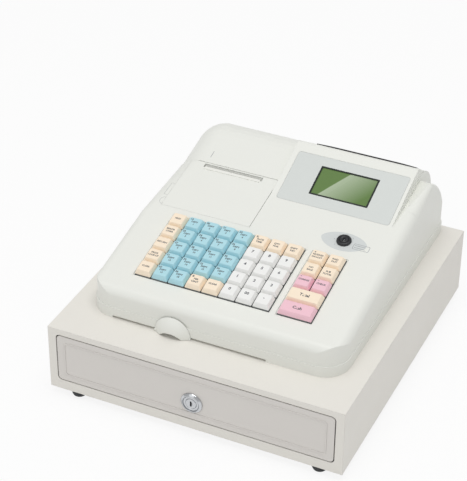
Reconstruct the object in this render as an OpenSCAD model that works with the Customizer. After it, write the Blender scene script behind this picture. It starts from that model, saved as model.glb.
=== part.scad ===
// Electronic cash register: a printing till on top of a steel cash drawer.
// Units are millimetres. +Z is up, the drawer opens towards -Y and +X is the operator's right.
// The origin is the bottom centre of the bounding box, on the surface that the feet stand on.

/* [Drawer box] */
// Width of the steel box
box_w = 330; // [310:1:400]
// Depth of the steel box
box_d = 355; // [348:1:430]
// Height of the steel box without its feet
box_h = 77; // [74:1:100]
// Thickness of the sheet steel
sheet = 1.2; // [0.8:0.1:1.6]
// Border left round the drawer opening at each side
border_side = 9; // [7:0.5:14]
// Border above the drawer opening
border_top = 7; // [5:0.5:12]
// Border below the drawer opening
border_bottom = 11.5; // [10:0.5:16]
// Depth of the returned edges behind the border
return_d = 14; // [12:0.5:18]
// Height of the rubber feet
foot_h = 9; // [6:0.5:14]
// Radius of the rubber feet
foot_r = 8; // [6:0.5:11]
// Distance of each foot from the side of the box
foot_in_x = 28; // [20:1:60]
// Distance of each foot from the front and back of the box
foot_in_y = 11; // [10:1:40]

/* [Drawer] */
// Gap all round the drawer front
front_gap = 1.2; // [0.8:0.1:2]
// Corner radius of the drawer front
front_r = 4; // [2:0.5:8]
// Depth of the folded drawer front
front_depth = 16; // [14:0.5:20]
// Height of the drawer pan's sides
pan_h = 46; // [36:1:48]
// Free space behind the pan for the catch and springs
rear_space = 30; // [28:1:60]
// Wall of the moulded trays
tray_t = 1.8; // [1.4:0.1:2.5]
// Depth of the coin tray, front to back
coin_d = 78; // [60:1:90]
// Depth of the bill tray, front to back
bill_d = 174; // [160:1:180]
// Number of coin compartments
coin_n = 5; // [3:1:6]
// Height of both trays
tray_h = 40; // [30:1:42]
// Width of the drawer runners
runner_w = 6.2; // [4:0.1:8]
// Height of the drawer runners
runner_h = 11; // [8:0.5:14]
// Thickness of the fixed rails
rail_t = 1.5; // [1:0.1:2]

/* [Bill clips] */
// Radius of the clip wire
wire_r = 1.1; // [0.8:0.05:1.5]
// Length of a clip from its pivot to its loops
clip_l = 80; // [60:1:90]
// Half of a clip's width, to the middle of its outer legs
clip_half = 17.6; // [15:0.1:20]
// Bend radius of the loops at the clip's end
clip_bend = 6; // [4:0.1:7]
// Distance of the clip pivots behind the front of the bill tray
clip_y = 117; // [100:1:130]
// Height of the clip pivots over the tray's floor
clip_z = 38; // [30:1:42]

/* [Drawer lock] */
// Radius of the lock's face ring
lock_r = 12; // [9:0.5:14]
// How far the lock stands in front of the box
lock_proud = 3; // [2:0.5:5]
// Height of the lock over the bottom of the box
lock_z = 34; // [30:1:44]
// Radius of the turning plug
plug_r = 6; // [4:0.25:8]
// Reach of the lock's tongue from the plug's axis
cam_l = 26; // [24:0.5:30]

/* [Catch] */
// Radius of the catch bolt
bolt_r = 3; // [2:0.25:4]
// Length of the catch bolt
bolt_l = 40; // [36:1:50]
// Travel of the catch bolt
bolt_travel = 6; // [4:0.5:8]
// Mean radius of the push-out springs
spring_r = 5; // [4:0.5:7]
// Wire radius of the push-out springs
spring_wire = 0.7; // [0.5:0.1:1]

/* [Housing] */
// Width of the plastic housing at its base
house_w = 284; // [270:1:400]
// Depth of the plastic housing
house_d = 309; // [306:1:320]
// Distance of the housing behind the front of the box
house_setback = 42.5; // [20:0.5:45]
// Plan radius of the front corners
corner_front = 28; // [16:1:36]
// Plan radius of the right rear corner
corner_rear = 11; // [8:1:20]
// Wall of the housing
wall = 2.5; // [2:0.1:3.5]
// Height of the lower shell
seam_h = 12.5; // [12:0.5:16]
// Ledge between the lower and the upper shell
ledge = 1; // [0.5:0.1:2]
// Height of the key deck at its front edge
deck_h = 36; // [34:0.5:44]
// Slope of the key deck in degrees
deck_a = 11; // [8:0.5:13]
// Radius of the long edges of the deck
edge_r = 10; // [6:0.5:12]
// Radius of the left edge beside the paper lid and of the left rear corner
shoulder_r = 31; // [20:1:34]
// Distance from the deck's front edge where the left edge begins to widen
widen_v = 112; // [90:1:130]
// Radius of the cheek right of the display, seen from the side
cheek_bend = 90; // [80:1:100]
// Radius of the edge round the cheek's bend
cheek_r = 3; // [2:0.5:6]
// Sideways slope of the cheek's top in degrees
valley_a = 24; // [16:1:28]
// Slope of the paper lid in degrees
lid_a = 14; // [12:0.5:16]
// Radius of the rear bend
rear_r = 42; // [34:1:44]

/* [Keyboard] */
// Key pitch both ways
pitch = 19.05; // [15:0.05:23]
// Number of columns in the left block
cols = 8; // [8:1:8]
// Number of key rows
rows = 5; // [5:1:5]
// Free gap between neighbouring key caps
key_gap = 0.95; // [0.6:0.05:1.5]
// Free border between the key cells and the edge of the key well
well_gap = 1.2; // [0.8:0.1:2]
// Space between the two key blocks
block_gap = 8.25; // [6:0.25:12]
// Distance of the front key row behind the deck's front edge
keys_v = 19.3; // [16:0.1:24]
// Height of a key cap over the deck
key_top = 6.5; // [5:0.5:9]
// Depth of a key cap under the deck's face
key_skirt = 2.5; // [1.5:0.5:3]
// Travel of a key
key_travel = 3.2; // [2:0.1:4]
// Radius of a key's stem
stem_r = 2; // [1.5:0.1:2.5]
// Running clearance of shafts and stems, on the radius
run_gap = 0.05; // [0.02:0.01:0.1]

/* [Display] */
// Distance of the display face's foot from the deck's front edge
pod_v = 177; // [160:0.5:180]
// Slope of the display face in degrees
pod_a = 20.5; // [18:0.5:24]
// Length of the display face
pod_len = 83; // [76:0.5:90]
// Slope of the rear window's face in degrees
rear_a = 37; // [34:0.5:40]
// Right end of the display housing
pod_x1 = 123; // [118:0.5:126]
// Length of the rear face of the display housing
rear_len = 45; // [42:0.5:48]
// Width of the face panel
panel_w = 129; // [110:0.5:131]
// Height of the face panel
panel_h = 67.5; // [60:0.5:70]
// Width of the screen window
screen_w = 66.5; // [50:0.5:80]
// Height of the screen window
screen_h = 39; // [30:0.5:44]
// Left end of the screen window from the panel's left end
screen_x = 32; // [20:0.5:40]
// Lower end of the screen window from the panel's lower end
screen_v = 15.5; // [10:0.5:18]

/* [Printer] */
// Right end of the paper lid and the printer cover
lid_x1 = -18; // [-24:0.5:-16]
// Left end of the printer cover
cover_x0 = -122; // [-126:0.5:-118]
// Distance of the printer cover's foot from the deck's front edge
cover_v = 125; // [122:0.5:130]
// Distance of the lid's front edge from the deck's front edge
lid_v = 203.5; // [198:0.5:206]
// Height of the lid's lower edge at the left side
lid_skirt_h = 42; // [38:0.5:56]
// Width of the paper slot
slot_w = 70; // [62:0.5:76]
// Depth of the paper slot, front to back
slot_d = 5.5; // [4.5:0.1:7]
// Width of the paper
paper_w = 57.5; // [57.5:0.5:60]
// Radius of the paper roll
roll_r = 24; // [15:0.5:25]
// Radius of the roll's spindle
spindle_r = 5.95; // [4:0.05:8]
// Radius of the feed roller
platen_r = 6; // [4:0.5:7]

/* [Mode switch] */
// Distance of the mode switch right of the middle
mode_x = 84; // [70:0.5:96]
// Distance of the mode switch from the deck's front edge
mode_v = 140; // [136:0.5:150]
// Radius of the mode switch's ring
mode_r = 8; // [7:0.1:11]
// Radius of the turning barrel
barrel_r = 4.8; // [4:0.1:6]

/* [Card tray] */
// Left end of the card tray
card_x0 = -111.5; // [-114:0.5:-100]
// Width of the card tray
card_w = 173; // [140:0.5:176]
// Depth of the card tray
card_d = 125; // [80:1:140]
// Thickness of the card tray
card_t = 1.8; // [1.6:0.1:2.6]
// How far the card tray's edge lies behind the housing's front
card_in = 5; // [3:0.5:8]
// Middle of the finger grip
grip_x = -42.3; // [-60:0.1:0]
// Half width of the finger grip
grip_r = 20.5; // [16:0.5:24]
// How far the finger grip stands out
grip_out = 8; // [6:0.5:11]

/* [Hidden] */

$fn = 48;
FIT = 0.3;        // free gap between pieces that move past each other
SEAM = 0.5;       // width of the visible joints between mouldings
COVER_GAP = 0.12; // gap round the left and lower edges of the printer cover, which is clipped in tight
LID_GROW = 0.1;   // how much of the lid's seam the lid itself takes up
FAR = 400;        // longer than anything that a cutter has to pass through
CREAM = "#f7e3ca";
BLUE = "#a5d7e4";
PINK = "#f0b4cd";
WHITE = "#efeef0";
SHELL = "#e9eae4";
STEEL = "#b9bcc0";
PAINT = "#e6e3dc";

// The steel box. Its middle sits behind the origin by half of what the lock stands out in front.
box_y0 = -(box_d + lock_proud) / 2 + lock_proud;
box_y1 = box_y0 + box_d;
box_z0 = foot_h;
box_z1 = foot_h + box_h;
open_half = box_w / 2 - border_side;
open_z0 = box_z0 + border_bottom;
open_z1 = box_z1 - border_top;

// The drawer, closed
front_half = open_half - front_gap;
front_z0 = open_z0 + front_gap;
front_z1 = open_z1 - front_gap;
pan_z0 = front_z0 + 1.3;
pan_y0 = box_y0 + front_depth;
pan_y1 = box_y1 - sheet - rear_space;
runner_x1 = open_half - 0.9;
runner_x0 = runner_x1 - runner_w;
runner_z0 = pan_z0 + 7;
pan_half = runner_x0;
tray_half = pan_half - sheet - FIT;
tray_z0 = pan_z0 + sheet;
coin_y0 = pan_y0 + sheet + FIT;
bill_y0 = coin_y0 + coin_d + FIT;
bill_n = 4;
bill_pitch = (2 * tray_half - tray_t) / bill_n;
coin_pitch = (2 * tray_half - tray_t) / coin_n;
clip_pos_y = bill_y0 + clip_y;
clip_pos_z = tray_z0 + clip_z;
clip_up = 1;          // the clip's pins lie this far over the top of the bill tray's walls
clip_rest = 0.5;      // gap between a resting clip and the tray's floor
clip_drop = asin((clip_z + clip_up - tray_t - wire_r - clip_rest) / clip_l);
ear_w = 7;
lock_pos_z = box_z0 + lock_z;
cam_t = 2;
cam_w = 8;
cam_y = box_y0 + 9;
cam_sweep = sqrt(cam_l * cam_l + cam_w * cam_w / 4 - pow(lock_pos_z - front_z0 - sheet, 2)) + 1;
bolt_y = pan_y1 + 14;
bolt_z = pan_z0 + 15;
striker_x = -9.4;
bolt_x0 = striker_x + 3;
coil_x1 = bolt_x0 + bolt_l - bolt_travel - FIT;
foot_x = box_w / 2 - foot_in_x;

// The housing: s is the distance behind its front face and h is the height over the box
house_y0 = box_y0 + house_setback;
house_z0 = box_z1;
upper_half = house_w / 2 - ledge;
deck_s = 10;
crease_s = deck_s + lid_v * cos(deck_a);
crease_h = deck_h + lid_v * sin(deck_a);
pod_s = deck_s + pod_v * cos(deck_a);
pod_h = deck_h + pod_v * sin(deck_a);
peak_s = pod_s + pod_len * cos(pod_a);
peak_h = pod_h + pod_len * sin(pod_a);
pod_x0 = lid_x1 + SEAM + 0.4;
panel_x0 = pod_x0 + 7;
ARC_STEPS = 10;
CROSS = 0.03;

// A line is [s, h, direction]; the solid lies on its right
LINE_FRONT = [ledge, 0, 90];
LINE_DECK = [deck_s, deck_h, deck_a];
LINE_LID = [crease_s, crease_h, lid_a];
LINE_REAR = [house_d - ledge, 0, -90];
LINE_POD = [pod_s, pod_h, pod_a];
LINE_WINDOW = [peak_s, peak_h, -rear_a];

function inset(l, e) = [l[0] + e * sin(l[2]), l[1] - e * cos(l[2]), l[2]];
function meet(a, b) =
    let (c = cos(a[2]) * sin(b[2]) - sin(a[2]) * cos(b[2]),
         t = ((b[0] - a[0]) * sin(b[2]) - (b[1] - a[1]) * cos(b[2])) / c)
    [a[0] + t * cos(a[2]), a[1] + t * sin(a[2])];
function bend_centre(a, b, r) = meet(inset(a, r), inset(b, r));
function bend(a, b, r, e) =
    let (c = bend_centre(a, b, r), n = ARC_STEPS)
    [for (i = [0 : n]) let (g = 90 + a[2] + (b[2] - a[2]) * i / n) c + (r - e) * [cos(g), sin(g)]];

rear_c = bend_centre(LINE_LID, LINE_REAR, rear_r);
lid_run = (rear_c - [crease_s, crease_h]) * [cos(lid_a), sin(lid_a)];
cheek_c = [house_d - ledge - cheek_bend, 5];
hinge_g = 30;                       // where on the rear bend the lid's hinge lies, in degrees
hinge_out = 0.6;                    // the hinge's axis stands this far off the surface
knuckle_r = 2.4;
hinge_pin_r = 1.3;
hinge = rear_c + (rear_r + hinge_out) * [cos(hinge_g), sin(hinge_g)];
lid_reach = norm(hinge - [crease_s, crease_h]);

// Places on the deck
block_x = [-(cols * pitch + block_gap + 2 * pitch) / 2 - 1.6,
           (cols * pitch + block_gap + 2 * pitch) / 2 - 1.6 - 2 * pitch];
key_w0 = -key_skirt;
switch_top = key_w0 - key_travel - FIT;
switch_h = 8;
switch_w = 14;
board_w1 = switch_top - switch_h;
board_t = 1.6;
board_margin = 8;
post_in = 5;
slot_v = lid_v - 2.4 - slot_d;
slot_x = (cover_x0 + lid_x1) / 2;
roll_s = crease_s + 42;
roll_h = crease_h - roll_r + 1;
platen_s = deck_s + (slot_v + slot_d / 2) * cos(deck_a);
platen_h = crease_h - platen_r - 7.5;
cheek_x = paper_w / 2 + 5;
cheek_t = 2.5;
main_h = 12;
main_x0 = 0;
main_x1 = 118;
main_s1 = house_d - ledge - wall;
jack_x = 100;
jack_w = 14;
jack_r = 3.2;
card_h0 = 0.4;
channel_h = card_h0 + card_t + FIT;
house_screw = [[-1, 27], [1, 27], [-1, house_d - 17], [1, house_d - 17]];
house_screw_x = upper_half - 13;
screw_r = 1.5;

// ---------------------------------------------------------------- helpers

// A block given by its two corners
module block(lo, hi) translate(lo) cube(hi - lo);

// A rod along X, Y or Z
module rod_x(p, r, l) translate(p) rotate([0, 90, 0]) cylinder(r = r, h = l);
module rod_y(p, r, l) translate(p) rotate([-90, 0, 0]) cylinder(r = r, h = l);
module rod_z(p, r, l) translate(p) cylinder(r = r, h = l);

// A rectangle with round corners, standing on its lower left corner
module round_rect(w, h, r) {
    translate([r, 0]) square([w - 2 * r, h]);
    translate([0, r]) square([w, h - 2 * r]);
    for (x = [r, w - r], y = [r, h - r]) translate([x, y]) circle(r);
}

// A plate with round corners that faces -Y
module face_plate(x0, x1, z0, z1, r, y, t)
    translate([x0, y + t, z0]) rotate([90, 0, 0]) linear_extrude(t) round_rect(x1 - x0, z1 - z0, r);

// The housing's outline from above, drawn in by e
module house_plan(half, e) {
    rf = corner_front - e;
    rl = shoulder_r - e;
    rr = corner_rear - e;
    w = 2 * (half - e);
    y0 = (house_w / 2 - half) + e;
    y1 = house_d - y0;
    mid = (y0 + y1) / 2;
    translate([-w / 2, y0 + rf]) square([w, y1 - y0 - rf - rl]);
    translate([0, mid]) square([w / 2, y1 - rr - mid]);
    translate([-w / 2 + rf, y0]) square([w - 2 * rf, mid - y0]);
    translate([-w / 2 + rl, mid]) square([w - rl - rr, y1 - mid]);
    for (m = [-1, 1]) translate([m * (w / 2 - rf), y0 + rf]) circle(rf);
    translate([-w / 2 + rl, y1 - rl]) circle(rl);
    translate([w / 2 - rr, y1 - rr]) circle(rr);
}

// Frames: the housing's own, the key deck's, the display face's and the rear window's
module on_house() translate([0, house_y0, house_z0]) children();
module on_side(l) translate([0, l[0], l[1]]) rotate([l[2], 0, 0]) children();
module on_line(l) on_house() on_side(l) children();
module on_deck() on_line(LINE_DECK) children();
module on_pod() on_line(LINE_POD) children();
module on_rear_window() on_line(LINE_WINDOW) children();

// An outline in s and h, pulled out along X
module side_cut(points, x0, x1)
    translate([x0, 0, 0]) rotate([90, 0, 90]) linear_extrude(x1 - x0) polygon(points);

// What a long edge loses when it is rounded, from r0 at v0 to r1 at v1, drawn in by e.
// The round crosses both faces at a slight angle.
module edge_cutter(side, r0, r1, e, v0, v1) {
    k = (r1 - r0) / (v1 - v0);
    d = sqrt(1 + 2 * k * k);
    c = sqrt(1 + k * k) / d;
    m = min(r0, r1) / 2;
    l = v1 - v0 + 2 * m;
    mirror([side < 0 ? 1 : 0, 0, 0]) intersection() {
        block([0, v0, -FAR], [FAR, v1, FAR]);
        translate([upper_half - r0 + k * m + CROSS, v0 - m, CROSS + k * m - r0])
            rotate([-asin(k / d), 0, atan(k)]) difference() {
                block([0, 0, 0], [2 * shoulder_r, l * d, 60]);
                rotate([-90, 0, 0])
                    cylinder(r1 = max(0.2, r0 - k * m - e) / c, r2 = max(0.2, r1 + k * m - e) / c, h = l * d);
            }
    }
}

// The same round, carried on round the bend with centre c and radius big, between the angles g0 and g1
module bend_cutter(side, r, e, c, big, g0, g1)
    mirror([side < 0 ? 1 : 0, 0, 0])
        translate([0, c[0], c[1]]) rotate([0, 90, 0]) rotate([0, 0, 90 + g0]) rotate_extrude(angle = g1 - g0)
            difference() {
                translate([big - r + 3 * CROSS, upper_half - r + 3 * CROSS]) square(2 * shoulder_r);
                translate([big - r + 3 * CROSS, upper_half - r + 3 * CROSS]) circle(max(0.2, r - e));
            }

// The upper body's side outline and the display housing's, both drawn in by e
function body_outline(e) = concat(
    [[ledge + e, seam_h - e]],
    bend(LINE_FRONT, LINE_DECK, edge_r, e),
    [meet(inset(LINE_DECK, e), inset(LINE_LID, e))],
    bend(LINE_LID, LINE_REAR, rear_r, e),
    [[house_d - ledge - e, seam_h - e]]);
function pod_outline(e) = concat(
    [meet(inset(LINE_DECK, e), inset(LINE_POD, e))],
    bend(LINE_POD, LINE_WINDOW, 7, e),
    [[peak_s + rear_len * cos(rear_a) - e, peak_h - rear_len * sin(rear_a) - e],
     [peak_s, pod_h - 12], [pod_s + 6, pod_h - 12]]);

// Everything behind the middle of the seam in front of the paper lid
module seam_rod() rod_x([-house_w, hinge[0], hinge[1]], lid_reach + (LID_GROW - SEAM) / 2, 2 * house_w);

// The whole upper body, drawn in by e
module body_solid(e) {
    on_house() difference() {
        intersection() {
            translate([0, 0, seam_h - e]) linear_extrude(FAR) house_plan(upper_half, e);
            side_cut(body_outline(e), -FAR, FAR);
        }
        // The left edge widens towards the lid; the two rounds meet inside the lid's front seam
        difference() {
            on_side(LINE_DECK) {
                edge_cutter(-1, edge_r, edge_r, e, -20, widen_v + 2);
                edge_cutter(-1, edge_r, shoulder_r, e, widen_v, lid_v + 12);
            }
            seam_rod();
        }
        intersection() {
            on_side(LINE_LID) edge_cutter(-1, shoulder_r, shoulder_r, e, -12, lid_run + 7);
            seam_rod();
        }
        on_side(LINE_DECK) edge_cutter(1, edge_r, edge_r, e, -20, lid_v + 1.7);
        on_side(LINE_LID) edge_cutter(1, edge_r, cheek_r, e, 0, 62);
        bend_cutter(-1, shoulder_r, e, rear_c, rear_r, 0, 90 + lid_a);
        // The cheek right of the display falls away in a wide bend of its own
        difference() {
            block([pod_x1 + 0.6 - e, cheek_c[0], cheek_c[1]], [FAR, FAR, FAR]);
            rod_x([0, cheek_c[0], cheek_c[1]], cheek_bend - e, FAR);
        }
        bend_cutter(1, cheek_r, e, cheek_c, cheek_bend, 0, 75);
        // Its top slopes down towards the display, more and more to the rear
        intersection() {
            block([pod_x1 + 0.6 - e, 0, 0], [FAR, FAR, FAR]);
            on_side(LINE_LID) translate([pod_x1 + 0.6, -28.5, 1.5]) rotate([-5.5, -valley_a, 0])
                block([-60, -60, -e], [60, 130, 60]);
        }
    }
    on_house() side_cut(pod_outline(e), pod_x0 + e, pod_x1 - e);
}

// The space that the paper lid takes, grown by g
module lid_space(g) {
    out = [cos(hinge_g), sin(hinge_g)];
    edge = hinge + (SEAM - g) * [-out[1], out[0]];
    low = edge - (edge[1] - lid_skirt_h + g) / out[1] * out;
    on_house() intersection() {
        side_cut([edge + 20 * out, low, [crease_s - 20, lid_skirt_h - g],
                  [crease_s - 20, crease_h + 60], edge + [0, 80]], -house_w, lid_x1 + g);
        rod_x([-house_w - 1, hinge[0], hinge[1]], lid_reach + g - SEAM, house_w + 2 + lid_x1 + g);
    }
}

// Hinge knuckles along the lid's axis: even ones belong to the shell and odd ones to the lid
knuckle_n = 5;
knuckle_x0 = -upper_half + 34;
knuckle_l = (lid_x1 - 6 - knuckle_x0) / knuckle_n;
module knuckles(first, r, gap)
    for (i = [first : 2 : knuckle_n - 1])
        rod_x([knuckle_x0 + i * knuckle_l + gap / 2, hinge[0], hinge[1]], r, knuckle_l - gap);

// ---------------------------------------------------------------- drawer box

module box_cover() color(PAINT) difference() {
    union() {
        difference() {
            block([-box_w / 2, box_y0, box_z0], [box_w / 2, box_y1, box_z1]);
            block([-box_w / 2 + sheet, box_y0 + sheet, box_z0 - 1],
                  [box_w / 2 - sheet, box_y1 - sheet, box_z1 - sheet]);
        }
        difference() {
            block([-open_half - sheet, box_y0, open_z0 - sheet],
                  [open_half + sheet, box_y0 + return_d, open_z1 + sheet]);
            block([-open_half, box_y0 - 1, open_z0], [open_half, box_y0 + return_d + 1, open_z1]);
        }
    }
    face_plate(-open_half, open_half, open_z0, open_z1, front_r + 1, box_y0 - 1, sheet + 2);
    // Slot that the lock's tongue drops into, and the holes for the housing's screws
    block([-cam_w / 2 - 1, cam_y - 1, box_z0 + 3], [cam_sweep, cam_y + cam_t + 1, open_z0 + 1]);
    for (p = house_screw)
        rod_z([p[0] * house_screw_x, house_y0 + p[1], box_z1 - sheet - 1], screw_r + 0.3, sheet + 2);
    // Way for the cable to the catch
    rod_z([60, house_y0 + house_d - 60, box_z1 - sheet - 1], 6, sheet + 2);
}

module box_base() color(PAINT) difference() {
    union() {
        block([-box_w / 2 + sheet, box_y0 + sheet, box_z0], [box_w / 2 - sheet, box_y1 - sheet, box_z0 + sheet]);
        for (m = [-1, 1])
            block([m * (box_w / 2 - 1.5 * sheet) - sheet / 2, box_y0 + sheet, box_z0],
                  [m * (box_w / 2 - 1.5 * sheet) + sheet / 2, box_y1 - sheet, box_z0 + 9]);
    }
    for (m = [-1, 1], y = [box_y0 + foot_in_y, box_y1 - foot_in_y])
        rod_z([m * foot_x, y, box_z0 - 1], screw_r + 0.2, sheet + 2);
}

// Two C-shaped rails on spacers, welded to the box's sides
module drawer_rails() color(STEEL)
    for (m = [0, 1]) mirror([m, 0, 0]) {
        y0 = box_y0 + front_depth + 1;
        y1 = pan_y1 + 8;
        z0 = runner_z0 - FIT;
        z1 = runner_z0 + runner_h + FIT;
        web = runner_x1 + FIT;
        difference() {
            block([runner_x0 + 1.6, y0, z0 - rail_t], [web + rail_t, y1, z1 + rail_t]);
            block([runner_x0, y0 - 1, z0], [web, y1 + 1, z1]);
        }
        for (y = [y0 + 10, (y0 + y1) / 2, y1 - 30])
            block([web + rail_t, y, z0 + 2], [box_w / 2 - sheet, y + 20, z1 - 2]);
    }

module rubber_feet() color("#46484a")
    for (m = [-1, 1], y = [box_y0 + foot_in_y, box_y1 - foot_in_y]) translate([m * foot_x, y, 0]) {
        difference() {
            union() {
                cylinder(r1 = foot_r - 1, r2 = foot_r, h = 2);
                rod_z([0, 0, 2], foot_r, foot_h - 2);
            }
            rod_z([0, 0, 3], screw_r + run_gap, foot_h);
        }
    }

module release_solenoid() color("#8f9499") difference() {
    union() {
        block([2, bolt_y - 11, bolt_z - 11], [coil_x1, bolt_y + 11, bolt_z + 11]);
        block([2, bolt_y - 11, box_z0 + sheet], [3.5, bolt_y + 11, bolt_z - 11]);
        block([2, bolt_y - 11, box_z0 + sheet], [coil_x1, bolt_y + 11, box_z0 + 2 * sheet]);
    }
    rod_x([1, bolt_y, bolt_z], bolt_r + run_gap, coil_x1);
}

module release_bolt() color(STEEL) {
    rod_x([bolt_x0, bolt_y, bolt_z], bolt_r, bolt_l);
    rod_x([bolt_x0 + bolt_l, bolt_y, bolt_z], bolt_r + 2, 2);
}

// A coil whose rings climb along +Y
module coil(r, wire, turns, length) {
    steps = 12;
    sides = 5;
    n = turns * steps;
    pts = [for (i = [0 : n], j = [0 : sides - 1])
        let (a = 360 * i / steps, b = 360 * j / sides, q = r + wire * cos(b))
        [q * cos(a), length * i / n + wire * sin(b), q * sin(a)]];
    polyhedron(pts, concat(
        [[for (j = [0 : sides - 1]) j]],
        [for (i = [0 : n - 1], j = [0 : sides - 1])
            let (k = (j + 1) % sides)
            [i * sides + j, i * sides + sides + j, i * sides + sides + k, i * sides + k]],
        [[for (j = [sides - 1 : -1 : 0]) n * sides + j]]), convexity = 6);
}

// The springs that push the drawer out, each on its stud at the box's back
module ejector_springs() color(STEEL)
    for (m = [-1, 1]) translate([m * 95, 0, bolt_z]) {
        translate([0, pan_y1 + FIT + spring_wire, 0])
            coil(spring_r, spring_wire, 5, rear_space - FIT - 2 * spring_wire - 2.1);
        rod_y([0, box_y1 - sheet - 14, 0], spring_r - spring_wire - 0.3, 14);
        rod_y([0, box_y1 - sheet - 2, 0], spring_r + 3, 2);
    }

// ---------------------------------------------------------------- drawer

module drawer_pan() color(PAINT) {
    z1 = pan_z0 + pan_h;
    difference() {
        block([-pan_half, pan_y0, pan_z0], [pan_half, pan_y1, z1]);
        block([-pan_half + sheet, pan_y0 + sheet, pan_z0 + sheet], [pan_half - sheet, pan_y1 - sheet, z1 + 1]);
    }
    // Arms that carry the drawer front
    for (m = [0, 1]) mirror([m, 0, 0])
        block([pan_half - sheet, box_y0 + sheet, pan_z0 + 3], [pan_half, pan_y0, z1 - 3]);
    // The striker that the catch bolt enters
    difference() {
        block([striker_x - sheet, pan_y1, bolt_z - 8], [striker_x, pan_y1 + 21, bolt_z + 8]);
        rod_x([striker_x - 3, bolt_y, bolt_z], bolt_r + 0.4, 6);
    }
}

module drawer_front() color("#c8c4c1") difference() {
    union() {
        difference() {
            face_plate(-front_half, front_half, front_z0, front_z1, front_r, box_y0, front_depth);
            face_plate(-front_half + sheet, front_half - sheet, front_z0 + sheet, front_z1 - sheet,
                       front_r - sheet, box_y0 + sheet, front_depth);
        }
        // Pressed border line round the middle field
        difference() {
            face_plate(-front_half + 8, front_half - 8, front_z0 + 7, front_z1 - 7, 4, box_y0 - 0.5, 1);
            face_plate(-front_half + 9.5, front_half - 9.5, front_z0 + 8.5, front_z1 - 8.5, 3, box_y0 - 1, 2);
        }
    }
    rod_y([0, box_y0 - 1, lock_pos_z], lock_r - 3.5, sheet + 2);
    block([-cam_w / 2 - 1, cam_y - 1, front_z0 - 1], [cam_sweep, cam_y + cam_t + 1, front_z0 + sheet + 1]);
}

module drawer_runners() color("#dcdcd6")
    for (m = [0, 1]) mirror([m, 0, 0])
        block([runner_x0, pan_y0 + 4, runner_z0], [runner_x1, pan_y1, runner_z0 + runner_h]);

// An open tray with n equal compartments
module divided_tray(y0, d, h, n) difference() {
    block([-tray_half, y0, tray_z0], [tray_half, y0 + d, tray_z0 + h]);
    for (i = [0 : n - 1]) {
        p = (2 * tray_half - tray_t) / n;
        x = -tray_half + tray_t + i * p;
        block([x, y0 + tray_t, tray_z0 + tray_t], [x + p - tray_t, y0 + d - tray_t, tray_z0 + h + 1]);
    }
}

module coin_tray() color("#e4e1df") divided_tray(coin_y0, coin_d, tray_h, coin_n);

module bill_tray() color("#edecea") divided_tray(bill_y0, bill_d, tray_h - 3, bill_n);

function clip_x(i) = -tray_half + tray_t / 2 + (i + 0.5) * bill_pitch;

// The bar across the bill tray, with two ears at each clip
module clip_bar() color("#f4f4f2") {
    z0 = tray_z0 + tray_h - 3;
    for (m = [0, 1]) mirror([m, 0, 0])
        block([tray_half - 6, clip_pos_y + 4, z0], [tray_half, clip_pos_y + 14, z0 + 3]);
    block([-tray_half, clip_pos_y + 4, z0], [tray_half, clip_pos_y + 14, z0 + 2.5]);
    for (i = [0 : bill_n - 1], m = [-1, 1]) difference() {
        x = clip_x(i) + m * (clip_half + 1.7 + ear_w / 2);
        block([x - ear_w / 2, clip_pos_y - 4, z0 + 0.2], [x + ear_w / 2, clip_pos_y + 6, z0 + 8]);
        rod_x([x - ear_w, clip_pos_y, clip_pos_z + clip_up], wire_r + run_gap, 2 * ear_w);
    }
}

// A straight piece of wire between two points, drawn in by e
module wire(a, b, e) {
    d = b - a;
    l = norm(d);
    translate(a) rotate([0, acos(d[2] / l), atan2(d[1], d[0])]) rotate(20)
        cylinder(r = wire_r - e, h = l, $fn = 24);
}

// A bill clip: two outer and two inner legs, bent from one wire
module bill_clip(i) color("#c9ccd0")
    translate([clip_x(i), clip_pos_y, clip_pos_z + clip_up]) rotate([clip_drop, 0, 0]) {
        inner = clip_half - 2 * clip_bend;
        top = 2.6;
        end = -clip_l + clip_bend;
        for (m = [-1, 1]) {
            wire([m * (clip_half + ear_w), 0, 0], [m * (clip_half - 0.9), 0, 0], 0);
            wire([m * clip_half, 0.9, 0], [m * clip_half, end - 0.4, 0], 0.03);
            wire([m * top, -13, 0], [m * inner, end - 0.4, 0], 0.03);
            translate([m * (clip_half - clip_bend), end, 0])
                rotate([0, 0, 180]) rotate_extrude(angle = 180, $fn = 48)
                    translate([clip_bend, 0]) circle(wire_r - 0.06, $fn = 24);
        }
        wire([-top - 0.9, -14, 0], [top + 0.9, -14, 0], 0);
    }
module bill_clip_1() bill_clip(0);
module bill_clip_2() bill_clip(1);
module bill_clip_3() bill_clip(2);
module bill_clip_4() bill_clip(3);

// Lock: a ring and body fixed in the drawer front, a turning plug and its tongue
module lock_housing() color("#d5d7da") difference() {
    union() {
        rod_y([0, box_y0 - lock_proud, lock_pos_z], lock_r, lock_proud);
        rod_y([0, box_y0 - 0.1, lock_pos_z], lock_r - 3.6, cam_y - FIT - box_y0);
    }
    rod_y([0, box_y0 - lock_proud - 1, lock_pos_z], plug_r + run_gap, FAR / 10);
}

module lock_plug() color("#c4c6c9") {
    difference() {
        rod_y([0, box_y0 - lock_proud + 0.4, lock_pos_z], plug_r, cam_y - box_y0 + lock_proud - 0.4);
        block([-0.9, box_y0 - lock_proud, lock_pos_z - 3.6], [0.9, box_y0 + 4, lock_pos_z + 3.6]);
    }
    // Rivet that holds the tongue
    rod_y([0, cam_y - 0.1, lock_pos_z], screw_r, cam_t + 0.2);
    rod_y([0, cam_y + cam_t, lock_pos_z], 2 * screw_r, 1.2);
}

module lock_cam() color(STEEL) difference() {
    block([-5, cam_y, lock_pos_z - cam_w / 2], [cam_l, cam_y + cam_t, lock_pos_z + cam_w / 2]);
    rod_y([0, cam_y - 1, lock_pos_z], screw_r + 0.1, cam_t + 2);
}

// ---------------------------------------------------------------- housing

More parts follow.
